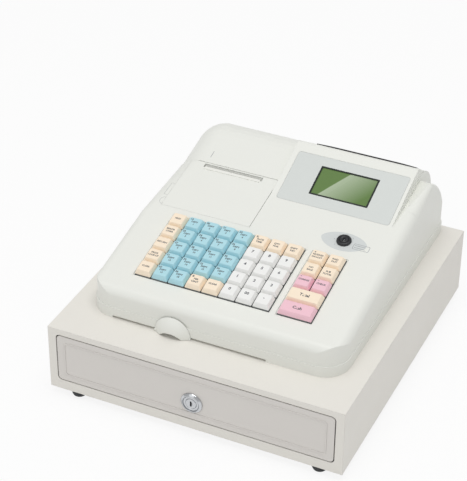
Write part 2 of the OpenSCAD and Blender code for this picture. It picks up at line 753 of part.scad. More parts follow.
module base_shell() color("#e3e2da") difference() {
    union() {
        on_house() difference() {
            linear_extrude(seam_h) house_plan(house_w / 2, 0);
            translate([0, 0, wall]) linear_extrude(seam_h) house_plan(house_w / 2, wall);
        }
        // Roof of the card tray's channel
        on_house() block([card_x0 - FIT - wall, wall, 0], [card_x0 + card_w + FIT + wall, card_d + 6, channel_h + wall]);
        // Posts of the main board and of the printer's frame
        for (x = [main_x0 + 6, main_x1 - 6], s = [main_s1 - 84, main_s1 - 8])
            on_house() rod_z([x, s, wall - 0.5], 3.5, main_h - wall + 0.5);
    }
    // The channel itself, open to the box below and to the front
    on_house() block([card_x0 - FIT, -1, -1], [card_x0 + card_w + FIT, card_d + 3, channel_h]);
    for (p = house_screw) on_house() rod_z([p[0] * house_screw_x, p[1], -1], screw_r + 0.3, wall + 2);
    for (x = [main_x0 + 6, main_x1 - 6], s = [main_s1 - 84, main_s1 - 8])
        on_house() rod_z([x, s, wall + 1], screw_r - 0.4, main_h);
    on_house() rod_z([60, house_d - 60, -1], 6, wall + 2);
}

// The deck's openings for the keys
module key_wells() on_deck()
    for (b = [0, 1])
        block([block_x[b] - well_gap, keys_v - well_gap, -FAR / 20],
              [block_x[b] + (b == 0 ? cols : 2) * pitch + well_gap, keys_v + rows * pitch + well_gap, 10]);

// Where the keyboard's board is screwed on
board_x0 = block_x[0] - board_margin;
board_x1 = block_x[1] + 2 * pitch + board_margin;
function board_posts() = [
    for (x = [board_x0 + board_margin - post_in, (board_x0 + board_x1) / 2, board_x1 - board_margin + post_in],
         v = [keys_v - post_in, keys_v + rows * pitch + post_in]) [x, v]];

module upper_shell() color(SHELL) difference() {
    union() {
        difference() {
            body_solid(0);
            body_solid(wall);
        }
        intersection() {
            body_solid(wall / 2);
            union() {
                // The wall beside the paper bay
                on_house() block([lid_x1 + SEAM + 0.8, crease_s - 76, seam_h + 2], [lid_x1 + SEAM + 2.8, main_s1 + 1, FAR]);
                // Posts for the housing's screws and the keyboard's board
                for (p = house_screw) on_house() rod_z([p[0] * house_screw_x, p[1], wall], 4, FAR);
                on_deck() for (p = board_posts()) rod_z([p[0], p[1], board_w1], 3, -board_w1);
            }
        }
        // Ledge under the printer cover
        difference() {
            intersection() {
                body_solid(wall - 0.6);
                on_deck() difference() {
                    block([cover_x0 - 3, cover_v - 3, -16], [lid_x1 + 3, lid_v - 1, 5]);
                    block([cover_x0 + 4, cover_v + 4, -17], [lid_x1 - 4, lid_v, 6]);
                }
            }
            body_solid(wall + 2);
        }
        for (p = house_screw) on_house() rod_z([p[0] * house_screw_x, p[1], wall], 4, seam_h);
        on_house() knuckles(0, knuckle_r, FIT);
    }
    key_wells();
    // The printer cover's opening
    difference() {
        on_deck() block([cover_x0 - COVER_GAP, cover_v - COVER_GAP, -12], [lid_x1 + SEAM, lid_v + 2, 30]);
        body_solid(wall);
    }
    on_deck() {
        // Mode switch, and the screw holes of the keyboard's board
        rod_z([mode_x, mode_v, -10], mode_r - 1.5, 20);
        for (p = board_posts()) rod_z([p[0], p[1], board_w1 - 1], screw_r - 0.4, 10);
    }
    on_pod() {
        translate([panel_x0, 0.5, -0.6]) linear_extrude(10) round_rect(panel_w + 0.4, panel_h + 0.4, 3);
        translate([panel_x0 + screen_x, 0.5 + screen_v, -10]) cube([screen_w + 0.4, screen_h + 0.4, 20]);
    }
    on_rear_window() block([pod_x0 + 20, 2, -wall - 2], [pod_x1 - 4, rear_len - 10, 10]);
    difference() {
        lid_space(SEAM);
        on_house() block([lid_x1 + SEAM, 0, 0], [FAR, FAR, FAR]);
    }
    on_house() {
        for (p = house_screw) rod_z([p[0] * house_screw_x, p[1], 0], screw_r + run_gap, 16);
        rod_y([jack_x, house_d - ledge - wall - 1, main_h + board_t + 6], 4.5, wall + 4);
        knuckles(1, knuckle_r + FIT, -FIT);
        knuckles(0, hinge_pin_r + run_gap, -2);
    }
}

// The tray for a reference card, with its domed finger grip
module card_tray() color(SHELL) {
    ball_r = (grip_r * grip_r + grip_out * grip_out) / (2 * grip_out);
    grip_t = 1.8;
    ball = [grip_x, ball_r - grip_out - FIT, 1];
    on_house() {
        difference() {
            block([card_x0, card_in, card_h0], [card_x0 + card_w, card_d, card_h0 + card_t]);
            block([card_x0 + 8, 14, card_h0 + 0.8], [card_x0 + card_w - 8, card_d - 6, 10]);
        }
        block([grip_x - grip_r, -FIT - grip_t, card_h0], [grip_x + grip_r, card_in, card_h0 + card_t]);
        difference() {
            translate(ball) sphere(ball_r, $fn = 64);
            translate(ball) sphere(ball_r - grip_t, $fn = 64);
            block([-FAR, -FIT, -FAR], [FAR, FAR, FAR]);
            block([-FAR, -FAR, -FAR], [FAR, FAR, card_h0]);
            translate([grip_x, -FAR / 2, -10]) rotate([-90, 0, 0]) cylinder(r = 16, h = FAR);
        }
    }
}

module main_board() color("#2f6b45") on_house() {
    difference() {
        block([main_x0, main_s1 - 90, main_h], [main_x1, main_s1 - 2, main_h + board_t]);
        for (x = [main_x0 + 6, main_x1 - 6], s = [main_s1 - 84, main_s1 - 8])
            rod_z([x, s, main_h - 1], screw_r + 0.2, board_t + 2);
    }
    for (c = [[40, 50, 20, 20, 2.4], [70, 30, 14, 28, 3], [20, 20, 30, 8, 9], [80, 66, 12, 10, 12]])
        translate([main_x0 + c[0], main_s1 - 90 + c[1], main_h + board_t]) cube([c[2], c[3], c[4]]);
}

module power_jack() color("#26272a") on_house() {
    z = main_h + board_t;
    difference() {
        block([jack_x - jack_w / 2, main_s1 - 14, z], [jack_x + jack_w / 2, main_s1, z + 12]);
        rod_y([jack_x, main_s1 - 11, z + 6], jack_r, 20);
    }
    rod_y([jack_x, main_s1 - 12, z + 6], 1, 10);
}

// ---------------------------------------------------------------- keyboard

module keyboard_board() color("#3a6f4c") on_deck() difference() {
    block([board_x0, keys_v - board_margin, board_w1 - board_t],
          [board_x1, keys_v + rows * pitch + board_margin, board_w1]);
    for (p = board_posts()) rod_z([p[0], p[1], board_w1 - board_t - 1], screw_r, board_t + 2);
}

// A key is [block, column, row from the front, width in columns]
DIGIT_KEYS = [[0, 5, 0, 1], [0, 5, 1, 1], [0, 6, 1, 1], [0, 7, 1, 1], [0, 5, 2, 1], [0, 6, 2, 1],
              [0, 7, 2, 1], [0, 5, 3, 1], [0, 6, 3, 1], [0, 7, 3, 1]];
ZERO_POINT_KEYS = [[0, 6, 0, 1], [0, 7, 0, 1]];
DEPARTMENT_KEYS = [for (c = [1 : 4], r = [0 : 4]) if (c < 3 || r > 0) [0, c, r, 1]];
CLERK_KEYS = concat([for (r = [0 : 4]) [0, 0, r, 1]], [[0, 3, 0, 1], [0, 4, 0, 1]]);
FUNCTION_KEYS = concat([for (c = [5 : 7]) [0, c, 4, 1]], [for (c = [0, 1], r = [2 : 4]) [1, c, r, 1]]);
TOTAL_KEY = [1, 0, 1, 2];
CASH_KEY = [1, 0, 0, 2];
ALL_KEYS = concat(DIGIT_KEYS, ZERO_POINT_KEYS, DEPARTMENT_KEYS, CLERK_KEYS, FUNCTION_KEYS,
                  [TOTAL_KEY, CASH_KEY]);

module at_key(k) on_deck()
    translate([block_x[k[0]] + (k[1] + k[3] / 2) * pitch, keys_v + (k[2] + 0.5) * pitch, 0]) children();

// A tapered cap on its stem
module keycap(k) at_key(k) {
    w = k[3] * pitch - key_gap;
    d = pitch - key_gap;
    taper = 4.6;
    translate([0, 0, key_w0])
        linear_extrude(key_top - key_w0, scale = [1 - taper / w, 1 - taper / d], slices = 1)
            square([w, d], center = true);
    rod_z([0, 0, switch_top - 3.5], stem_r, key_w0 - switch_top + 3.6);
}

module key_switches() color("#2b2c2e")
    for (k = ALL_KEYS) at_key(k) difference() {
        translate([-switch_w / 2, -switch_w / 2, board_w1]) cube([switch_w, switch_w, switch_h]);
        rod_z([0, 0, board_w1 - 1], stem_r + run_gap, switch_h + 2);
    }

module digit_key(i) color(WHITE) keycap(DIGIT_KEYS[i]);
module key_0() digit_key(0);
module key_1() digit_key(1);
module key_2() digit_key(2);
module key_3() digit_key(3);
module key_4() digit_key(4);
module key_5() digit_key(5);
module key_6() digit_key(6);
module key_7() digit_key(7);
module key_8() digit_key(8);
module key_9() digit_key(9);
module double_zero_and_point_keys() color(WHITE) for (k = ZERO_POINT_KEYS) keycap(k);
module department_keys() color(BLUE) for (k = DEPARTMENT_KEYS) keycap(k);
module clerk_keys() color(CREAM) for (k = CLERK_KEYS) keycap(k);
module function_keys()
    for (k = FUNCTION_KEYS) color(k[0] == 1 && k[2] == 2 ? PINK : CREAM) keycap(k);
module total_key() color(CREAM) keycap(TOTAL_KEY);
module cash_key() color(PINK) keycap(CASH_KEY);

// Mode switch: a ring and body held in the deck, and the barrel that the key turns
module mode_switch() color("#2b2c2e") on_deck() translate([mode_x, mode_v, 0]) difference() {
    union() {
        cylinder(r = mode_r, h = 3);
        rod_z([0, 0, -18], mode_r - 1.5 - 0.1, 18.1);
        rod_z([0, 0, -wall - 3], mode_r + 2, 3);
    }
    rod_z([0, 0, -15], barrel_r + run_gap, 30);
}

module mode_barrel() color("#38393c") on_deck() translate([mode_x, mode_v, 0]) difference() {
    rod_z([0, 0, -14.9], barrel_r, 14.9 + 3.4);
    block([-0.9, -3.8, -3], [0.9, 3.8, 5]);
}

// ---------------------------------------------------------------- display

module display_panel() color("#d6dad8") on_pod() difference() {
    translate([panel_x0 + 0.2, 0.7, -0.6]) linear_extrude(0.6) round_rect(panel_w, panel_h, 3);
    translate([panel_x0 + screen_x, 0.5 + screen_v, -2]) cube([screen_w + 0.4, screen_h + 0.4, 4]);
}

module lcd_window() color("#7f9b66") on_pod()
    translate([panel_x0 + screen_x + 0.2, 0.7 + screen_v, -wall]) cube([screen_w, screen_h, wall - 0.3]);

module lcd_module() color("#2e5c3e") on_pod() {
    block([panel_x0 + screen_x - 4, screen_v - 3, -wall - 5],
          [panel_x0 + screen_x + screen_w + 4, screen_v + screen_h + 4, -wall]);
    block([panel_x0 + screen_x - 8, screen_v - 6, -wall - 7],
          [panel_x0 + screen_x + screen_w + 8, screen_v + screen_h + 7, -wall - 5]);
}

module customer_window() color("#2c2e33") on_rear_window()
    block([pod_x0 + 20.2, 2.2, -wall], [pod_x1 - 4.2, rear_len - 10.2, 0.4]);

module customer_display() color("#23402e") on_rear_window() {
    block([pod_x0 + 32, 5, -wall - 6], [pod_x1 - 14, rear_len - 13, -wall]);
    block([pod_x0 + 26, 4, -wall - 8], [pod_x1 - 8, rear_len - 12, -wall - 6]);
}

// ---------------------------------------------------------------- printer

module printer_cover() color(SHELL) {
    difference() {
        intersection() {
            body_solid(0);
            on_deck() block([cover_x0, cover_v, -12], [lid_x1, lid_v - SEAM, 10]);
        }
        body_solid(wall);
        on_house() rod_x([-house_w, hinge[0], hinge[1]], lid_reach, 2 * house_w);
        on_deck() block([slot_x - slot_w / 2, slot_v, -10], [slot_x + slot_w / 2, slot_v + slot_d, 10]);
    }
    // Guide behind the paper, down to the roller
    on_deck() block([slot_x - slot_w / 2 + 1, slot_v + slot_d, -6],
                    [slot_x + slot_w / 2 - 1, slot_v + slot_d + 1.5, 0.5 - wall]);
}

module tear_bar() color("#dfe1e3") on_deck()
    block([slot_x - slot_w / 2 + 2, slot_v - 3, 0], [slot_x + slot_w / 2 - 2, slot_v + 0.8, 0.7]);

module paper_lid() color(SHELL) {
    difference() {
        intersection() {
            body_solid(0);
            lid_space(LID_GROW);
        }
        body_solid(wall);
        on_house() knuckles(0, knuckle_r + FIT, -FIT);
    }
    on_house() {
        knuckles(1, knuckle_r, FIT);
        knuckles(1, hinge_pin_r, -10);
    }
}

module paper_roll() color("#fafafa") on_house() difference() {
    rod_x([slot_x - paper_w / 2, roll_s, roll_h], roll_r, paper_w);
    rod_x([slot_x - paper_w, roll_s, roll_h], spindle_r + run_gap, 2 * paper_w);
}

module feed_roller() color("#333436") on_house() {
    rod_x([slot_x - paper_w / 2 - 1, platen_s, platen_h], platen_r, paper_w + 2);
    rod_x([slot_x - cheek_x - cheek_t, platen_s, platen_h], 2, 2 * (cheek_x + cheek_t));
}

// The printer's chassis: floor, two cheeks, spindle and print head
module printer_frame() color("#9a9da1") on_house() {
    h0 = 14;
    s0 = platen_s - 16;
    s1 = roll_s + roll_r + 4;
    difference() {
        union() {
            block([slot_x - cheek_x - cheek_t, s0, h0], [slot_x + cheek_x + cheek_t, s1, h0 + 2]);
            for (x = [slot_x - cheek_x - cheek_t, slot_x + cheek_x])
                side_cut([[s0, h0], [s0, platen_h - 8], [platen_s - 6, platen_h + 5], [platen_s + 6, platen_h + 5],
                          [roll_s - 8, roll_h + 9], [roll_s + 8, roll_h + 9], [s1, h0 + 10], [s1, h0]],
                         x, x + cheek_t);
            block([slot_x - cheek_x, s0, h0], [slot_x + cheek_x, s0 + 2, platen_h - 10]);
            block([slot_x - paper_w / 2, platen_s - platen_r - 5, h0 + 2],
                  [slot_x + paper_w / 2, platen_s - platen_r - 0.4, platen_h + 2]);
            for (x = [slot_x - cheek_x + 3, slot_x + cheek_x - 3], s = [s0 + 6, s1 - 6])
                rod_z([x, s, wall], 4, h0 - wall);
        }
        rod_x([-FAR, platen_s, platen_h], 2 + run_gap, FAR);
    }
    rod_x([slot_x - cheek_x, roll_s, roll_h], spindle_r, 2 * cheek_x);
}

// ---------------------------------------------------------------- fasteners

// A pan-head screw whose head rests on z = 0 and whose shank points to +Z
module screw(r, l) {
    rod_z([0, 0, -1.8], 2 * r, 1.8);
    rod_z([0, 0, -0.1], r, l + 0.1);
}

module fasteners() color(STEEL) {
    for (m = [-1, 1], y = [box_y0 + foot_in_y, box_y1 - foot_in_y])
        translate([m * foot_x, y, box_z0 + sheet]) mirror([0, 0, 1]) screw(screw_r, foot_h - 3);
    for (p = house_screw)
        translate([p[0] * house_screw_x, house_y0 + p[1], box_z1 - sheet]) screw(screw_r, 14);
    for (x = [main_x0 + 6, main_x1 - 6], s = [main_s1 - 84, main_s1 - 8])
        on_house() translate([x, s, main_h + board_t]) mirror([0, 0, 1]) screw(screw_r - 0.45, 8);
    on_deck() for (p = board_posts()) translate([p[0], p[1], board_w1 - board_t]) screw(screw_r - 0.45, 8);
}

box_cover();
box_base();
drawer_rails();
rubber_feet();
release_solenoid();
release_bolt();
ejector_springs();
drawer_pan();
drawer_front();
drawer_runners();
coin_tray();
bill_tray();
clip_bar();
bill_clip_1();
bill_clip_2();
bill_clip_3();
bill_clip_4();
lock_housing();
lock_plug();
lock_cam();
base_shell();
upper_shell();
card_tray();
main_board();
power_jack();
keyboard_board();
key_switches();
mode_switch();
mode_barrel();
display_panel();
lcd_window();
lcd_module();
customer_window();
customer_display();
printer_cover();
tear_bar();
paper_lid();
paper_roll();
feed_roller();
printer_frame();
fasteners();
key_0();
key_1();
key_2();
key_3();
key_4();
key_5();
key_6();
key_7();
key_8();
key_9();
double_zero_and_point_keys();
department_keys();
clerk_keys();
function_keys();
total_key();
cash_key();
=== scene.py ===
"""The looks of a cash register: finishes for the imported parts, finer pieces, light and camera.

Shapes are drawn in millimetres and settled into the frame in metres. On a sloping face x runs across,
v up the slope and w out of it.
"""

import math

import bmesh
import bpy
from mathutils import Matrix, Vector
from mathutils.bvhtree import BVHTree


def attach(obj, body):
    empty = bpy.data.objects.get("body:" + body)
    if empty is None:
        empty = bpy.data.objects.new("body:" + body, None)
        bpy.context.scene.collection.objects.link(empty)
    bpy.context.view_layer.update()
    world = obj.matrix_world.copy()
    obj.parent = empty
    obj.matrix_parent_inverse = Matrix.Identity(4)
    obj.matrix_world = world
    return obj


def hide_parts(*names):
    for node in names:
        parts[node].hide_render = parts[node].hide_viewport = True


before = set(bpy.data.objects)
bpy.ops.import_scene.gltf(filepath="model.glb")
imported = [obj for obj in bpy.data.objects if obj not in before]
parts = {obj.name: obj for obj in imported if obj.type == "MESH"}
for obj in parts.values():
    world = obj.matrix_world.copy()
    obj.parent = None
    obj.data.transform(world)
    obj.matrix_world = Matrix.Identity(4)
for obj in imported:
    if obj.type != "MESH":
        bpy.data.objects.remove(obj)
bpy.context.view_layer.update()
MM = 0.001


# ---------------------------------------------------------------- places on the slopes

# Foot of the housing's front, on top of the box
HOUSING = (0.0, -133.5, 86.0)
# Key cells: their pitch, a cap's width, the left edges of the two blocks and the front edge of the first row
PITCH, CAP = 19.05, 18.1
BLOCK_X = (-100.975, 59.675)
KEYS_V = 19.3


def slope(s, h, angle):
    """The frame of a sloping face whose foot is s behind the housing's front and h over the box."""
    foot = Vector((HOUSING[0], HOUSING[1] + s, HOUSING[2] + h)) * MM
    return Matrix.Translation(foot) @ Matrix.Rotation(math.radians(angle), 4, "X")


DECK = slope(10.0, 36.0, 11.0)
DISPLAY_ANGLE = 20.5
DISPLAY = slope(183.748, 69.7732, DISPLAY_ANGLE)
REAR_WINDOW = slope(261.492, 98.8404, -37.0)
LOCK_AT = Vector((0.0, -176.0, 43.0)) * MM
DRAWER_FACE = Matrix.Translation(LOCK_AT) @ Matrix.Rotation(math.radians(90), 4, "X")


# ---------------------------------------------------------------- materials


def linear(hex_colour, factor=1.0):
    """An sRGB hex colour as linear red, green, blue and alpha, made lighter or darker by a factor."""
    parts = [int(hex_colour[i : i + 2], 16) / 255 for i in (1, 3, 5)]
    parts = [p / 12.92 if p <= 0.04045 else ((p + 0.055) / 1.055) ** 2.4 for p in parts]
    return [min(1.0, p * factor) for p in parts] + [1.0]


def add(tree, kind, settings=None, inputs=None):
    """Adds a node. settings are its properties; inputs, by name or number, are values or outputs to link."""
    node = tree.nodes.new(kind)
    for name, value in (settings or {}).items():
        setattr(node, name, value)
    for name, value in (inputs or {}).items():
        if isinstance(value, bpy.types.NodeSocket):
            tree.links.new(value, node.inputs[name])
        else:
            node.inputs[name].default_value = value
    return node


def start_material(name):
    """An empty material, its node tree, and the place on the part as a vector in metres."""
    material = bpy.data.materials.new(name)
    material.use_nodes = True
    tree = material.node_tree
    tree.nodes.clear()
    return material, tree, add(tree, "ShaderNodeTexCoord").outputs["Object"]


def noise(tree, place, size_mm, detail=2.0, stretch=(1, 1, 1)):
    """Soft noise from 0 to 1 whose lumps are size_mm across."""
    if stretch != (1, 1, 1):
        place = add(tree, "ShaderNodeVectorMath", {"operation": "MULTIPLY"}, {0: place, 1: stretch}).outputs[0]
    inputs = {"Vector": place, "Scale": 1 / (size_mm * MM), "Detail": detail}
    return add(tree, "ShaderNodeTexNoise", None, inputs).outputs["Fac"]


def mixed(tree, factor, a, b):
    """A colour between a and b."""
    return add(tree, "ShaderNodeMix", {"data_type": "RGBA"}, {0: factor, 6: a, 7: b}).outputs[2]


def spread(tree, value, low, high, start=0.3, end=0.7):
    """Takes value from the range start to end to the range low to high."""
    inputs = {"Value": value, "From Min": start, "From Max": end, "To Min": low, "To Max": high}
    return add(tree, "ShaderNodeMapRange", None, inputs).outputs[0]


def worn_edge(tree, rounded, reach=0.12):
    """1 where a rounded normal leaves the true one, which is along the edges, and 0 on the faces."""
    true = add(tree, "ShaderNodeNewGeometry").outputs["Normal"]
    inputs = {0: rounded, 1: true}
    along = add(tree, "ShaderNodeVectorMath", {"operation": "DOT_PRODUCT"}, inputs).outputs["Value"]
    return spread(tree, along, 1.0, 0.0, 1 - reach, 1.0)


def finish_with(tree, sockets):
    """Closes a tree with one Principled shader."""
    shader = add(tree, "ShaderNodeBsdfPrincipled", None, sockets)
    add(tree, "ShaderNodeOutputMaterial", None, {"Surface": shader.outputs[0]})


def moulded(name, colour, roughness, grain_mm, depth_mm, cloud, cloud_mm, swing, edge, round_mm, **sockets):
    """A moulded or painted surface: clouded colour, wandering roughness, fine grain, softly rounded edges.

    cloud is how far the colour wanders, swing how far the roughness does, and edge how light the edges are.
    """
    material, tree, place = start_material(name)
    rounded = add(tree, "ShaderNodeBevel", {"samples": 4}, {"Radius": round_mm * MM}).outputs[0]
    clouds = noise(tree, place, cloud_mm, 3.0)
    body = mixed(tree, clouds, linear(colour, 1 - cloud), linear(colour, 1 + cloud))
    body = mixed(tree, worn_edge(tree, rounded), body, linear(colour, edge))
    rough = spread(tree, noise(tree, place, cloud_mm * 0.3, 4.0), roughness - swing, roughness + swing)
    grain = noise(tree, place, grain_mm, 2.0)
    bumped = add(tree, "ShaderNodeBump", None, {"Distance": depth_mm * MM, "Height": grain, "Normal": rounded})
    finish_with(tree, {"Base Color": body, "Roughness": rough, "Normal": bumped.outputs[0], **sockets})
    return material


def plated(name, colour, roughness, along_mm, across_mm, depth_mm, spangle=0.05, stretch_axis=0):
    """Bare or plated metal with fine lines from rolling or brushing along one axis."""
    swing = 0.07
    material, tree, place = start_material(name)
    rounded = add(tree, "ShaderNodeBevel", {"samples": 4}, {"Radius": 0.3 * MM}).outputs[0]
    stretch = [1.0, 1.0, 1.0]
    stretch[stretch_axis] = across_mm / along_mm
    lines = noise(tree, place, across_mm, 3.0, tuple(stretch))
    flakes = noise(tree, place, 9.0, 2.0)
    body = mixed(tree, flakes, linear(colour, 1 - spangle), linear(colour, 1 + spangle))
    rough = spread(tree, lines, roughness - swing, roughness + swing)
    bumped = add(tree, "ShaderNodeBump", None, {"Distance": depth_mm * MM, "Height": lines, "Normal": rounded})
    finish_with(tree, {"Base Color": body, "Metallic": 1.0, "Roughness": rough, "Normal": bumped.outputs[0]})
    return material


# Powder coat on sheet steel: a hard matt-satin skin with a faint orange peel
powder_coat = moulded("powder_coat_warm_white", "#e9e6df", 0.48, 1.6, 0.05, 0.012, 60, 0.05, 1.03, 0.7)
# Satin enamel on pressed steel: smoother and a little greyer than the box
satin_enamel = moulded("satin_enamel_light_grey", "#dcd8d3", 0.40, 2.2, 0.03, 0.012, 60, 0.05, 1.05, 0.6)
# Zinc plating on steel: cold grey metal with faint rolling lines
zinc_plate = plated("zinc_plated_steel", "#b9bcbf", 0.38, 12, 0.8, 0.02)
# Rubber, compression moulded: near black, dull, slightly dusty
foot_rubber = moulded("moulded_rubber", "#3c3e40", 0.75, 0.9, 0.08, 0.10, 8, 0.08, 1.25, 0.8)
# ABS from a spark-eroded mould: warm white and a soft sheen, with the grain drawn coarser than the real 0.2 mm
housing_abs = moulded("moulded_abs_warm_white", "#ebece6", 0.42, 1.1, 0.035, 0.010, 70, 0.05, 1.02, 0.6)
# High-impact polystyrene: a slightly glossier, bluer white
tray_styrene = moulded("moulded_polystyrene", "#e9e9e9", 0.36, 2.0, 0.03, 0.012, 50, 0.05, 1.03, 0.8)
# Nylon: milky and waxy
MILKY = {"Subsurface Weight": 0.15, "Subsurface Radius": (0.002, 0.002, 0.002)}
nylon = moulded("moulded_nylon", "#e6e6e0", 0.45, 1.2, 0.03, 0.02, 20, 0.05, 1.05, 0.5, **MILKY)
# Plated spring wire: bright, with faint drawing lines along it
spring_wire = plated("plated_spring_wire", "#cfd1d4", 0.22, 20, 0.5, 0.01, 0.03, 1)
# Chrome plate on a zinc casting: a mirror with the softest polishing haze
chrome = plated("chromed_zinc", "#c9cbce", 0.16, 3, 2.5, 0.004, 0.02)
# Key caps: doubleshot ABS with a fine etched top
key_white = moulded("key_cap_white", "#f1f1ef", 0.42, 0.8, 0.03, 0.010, 20, 0.06, 1.02, 0.3)
key_blue = moulded("key_cap_blue", "#b2dde7", 0.42, 0.8, 0.03, 0.015, 20, 0.06, 1.08, 0.3)
key_cream = moulded("key_cap_cream", "#fbead3", 0.42, 0.8, 0.03, 0.015, 20, 0.06, 1.04, 0.3)
key_pink = moulded("key_cap_pink", "#f3c6d2", 0.42, 0.8, 0.03, 0.015, 20, 0.06, 1.06, 0.3)
# Painted shade: the caps' skirts in dark grey, which shows as a thin dark line between them where the gaps fall
# in shade
key_skirt_shade = moulded("key_skirt_painted_shade", "#7d8082", 0.55, 0.8, 0.03, 0.05, 10, 0.06, 1.1, 0.2)
# Polyester overlay with a fine velvet texture, printed pale grey
overlay_film = moulded("polyester_overlay", "#d6dad7", 0.34, 0.9, 0.012, 0.008, 50, 0.04, 1.02, 0.2)
# Black acetal and ABS for switches and sockets
black_plastic = moulded("moulded_black_plastic", "#26272a", 0.42, 0.9, 0.03, 0.06, 12, 0.07, 1.5, 0.4)
# Ground rubber on a roller
roller_rubber = moulded("ground_rubber", "#2b2c2e", 0.68, 0.6, 0.05, 0.08, 10, 0.06, 1.2, 0.3)
# Thermal paper: bright, dead matt
thermal_paper = moulded("thermal_paper", "#f4f4f2", 0.62, 0.7, 0.02, 0.010, 15, 0.05, 1.0, 0.2)
# Folded mill-finish steel
folded_steel = plated("folded_steel", "#a6a9ad", 0.34, 25, 0.9, 0.02, 0.04, 2)
# Stove enamel on a thin steel bar, the colour of the housing
painted_bar = moulded("stove_enamelled_bar", "#eeeee8", 0.30, 1.5, 0.02, 0.010, 30, 0.05, 1.04, 0.2)
# Solder mask on fibreglass: glassy green over a woven ground
GLASSY = {"Coat Weight": 0.3}
solder_mask = moulded("solder_mask_green", "#2f6b45", 0.30, 1.0, 0.03, 0.08, 6, 0.06, 1.1, 0.2, **GLASSY)
# Smoked acrylic: nearly black, polished
smoked_acrylic = moulded("smoked_acrylic", "#1c1d20", 0.08, 5.0, 0.002, 0.02, 40, 0.02, 1.2, 0.3)
# Pad-printed ink: matt, a little uneven where it was pressed on
key_ink = moulded("pad_printed_grey_ink", "#505359", 0.55, 0.5, 0.004, 0.06, 3, 0.05, 1.0, 0.05)
mask_ink = moulded("screen_printed_black_ink", "#18201a", 0.30, 0.8, 0.003, 0.05, 8, 0.05, 1.1, 0.05)
field_ink = moulded("screen_printed_grey_ink", "#d3d7d6", 0.45, 1.0, 0.008, 0.02, 12, 0.05, 1.0, 0.05)
# The same dark grey ink also serves as painted shade in the grooves that drape draws
faint_ink_and_groove_shade = moulded("dark_grey_ink_and_painted_groove_shade", "#9da1a2", 0.50, 0.8, 0.004, 0.04, 5, 0.05, 1.0, 0.05)


def liquid_crystal():
    """Liquid crystal glass over green backlight film, under a clear pane with a painted reflection across it.

    The painted reflection is a pale band in the colour, a little rougher: sharp on its upper left edge, fading
    to the lower right.
    """
    material, tree, place = start_material("liquid_crystal_glass")
    reflection_start, reflection_sharp, reflection_end, slant = 0.0150, 0.0160, 0.0520, (0.824, -0.566, 0)
    upright = DISPLAY.inverted() @ Vector((0, 0, 0))
    turn = {"Rotation": (math.radians(-DISPLAY_ANGLE), 0, 0), "Location": tuple(upright)}
    local = add(tree, "ShaderNodeMapping", None, {"Vector": place, **turn}).outputs[0]
    dot = add(tree, "ShaderNodeVectorMath", {"operation": "DOT_PRODUCT"}, {0: local, 1: slant})
    across = dot.outputs["Value"]
    edge = spread(tree, across, 0.0, 1.0, reflection_start, reflection_sharp)
    fade = spread(tree, across, 1.0, 0.0, reflection_sharp, reflection_end)
    painted_reflection = add(tree, "ShaderNodeMath", {"operation": "MULTIPLY"}, {0: edge, 1: fade}).outputs[0]
    painted_reflection = add(tree, "ShaderNodeMath", {"operation": "MULTIPLY"}, {0: painted_reflection, 1: 0.62}).outputs[0]
    cells = noise(tree, local, 1.2, 1.0)
    green = mixed(tree, cells, linear("#5e7c40"), linear("#648246"))
    # Painted reflection: the pale band is mixed into the green where the pane would reflect light
    body = mixed(tree, painted_reflection, green, linear("#c9d6bd"))
    rough = spread(tree, painted_reflection, 0.10, 0.30, 0.0, 0.6)
    finish_with(tree, {"Base Color": body, "Roughness": rough, "Coat Weight": 0.3, "Coat Roughness": 0.05})
    return material


lcd_glass = liquid_crystal()

FINISHES = {
    powder_coat: ["box_cover", "box_base", "drawer_pan"],
    satin_enamel: ["drawer_front"],
    zinc_plate: ["drawer_rails", "release_solenoid", "release_bolt", "ejector_springs", "lock_cam", "fasteners"],
    foot_rubber: ["rubber_feet"],
    housing_abs: ["base_shell", "upper_shell", "card_tray", "printer_cover", "paper_lid"],
    tray_styrene: ["coin_tray", "bill_tray"],
    nylon: ["clip_bar", "drawer_runners"],
    spring_wire: [f"bill_clip_{i}" for i in range(1, 5)],
    chrome: ["lock_housing", "lock_plug"],
    key_white: [f"key_{i}" for i in range(10)] + ["double_zero_and_point_keys"],
    key_blue: ["department_keys"],
    key_cream: ["clerk_keys", "function_keys", "total_key"],
    key_pink: ["cash_key"],
    overlay_film: ["display_panel"],
    lcd_glass: ["lcd_window"],
    smoked_acrylic: ["customer_window"],
    solder_mask: ["main_board", "keyboard_board", "lcd_module", "customer_display"],
    black_plastic: ["power_jack", "key_switches", "mode_switch", "mode_barrel"],
    roller_rubber: ["feed_roller"],
    thermal_paper: ["paper_roll"],
    folded_steel: ["printer_frame"],
    painted_bar: ["tear_bar"],
}
for material, names in FINISHES.items():
    for name in names:
        mesh = parts[name].data
        mesh.materials.clear()
        mesh.materials.append(material)


# ---------------------------------------------------------------- making pieces

SMOOTH = 35
# Material slots of a piece with keys: 0 is the cap
INK_SLOT, SHADED_SKIRT_SLOT, OTHER_CAP_SLOT = 1, 2, 3


def place_piece(name, mesh, body, slot, materials, *replaced):
    """Puts a finished mesh into the scene on its body, with its materials in slot order."""
    for material in materials:
        mesh.materials.append(material)
    piece = bpy.data.objects.new(name, mesh)
    bpy.context.scene.collection.objects.link(piece)
    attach(piece, body)
    if replaced:
        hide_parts(*replaced)
    return piece


def settle(shape, frame_of_face):
    """Moves a shape from a face's own millimetres to its place on the part in metres."""
    for vertex in shape.verts:
        vertex.co = frame_of_face @ (vertex.co * MM)


def soften(shape, smooth_angle):
    """Marks every edge flatter than smooth_angle as smooth."""
    for edge in shape.edges:
        edge.smooth = len(edge.link_faces) == 2 and edge.calc_face_angle() < math.radians(smooth_angle)


def mesh_of(name, shape):
    """Turns a bmesh into a mesh and frees it."""
    mesh = bpy.data.meshes.new(name)
    shape.to_mesh(mesh)
    shape.free()
    return mesh


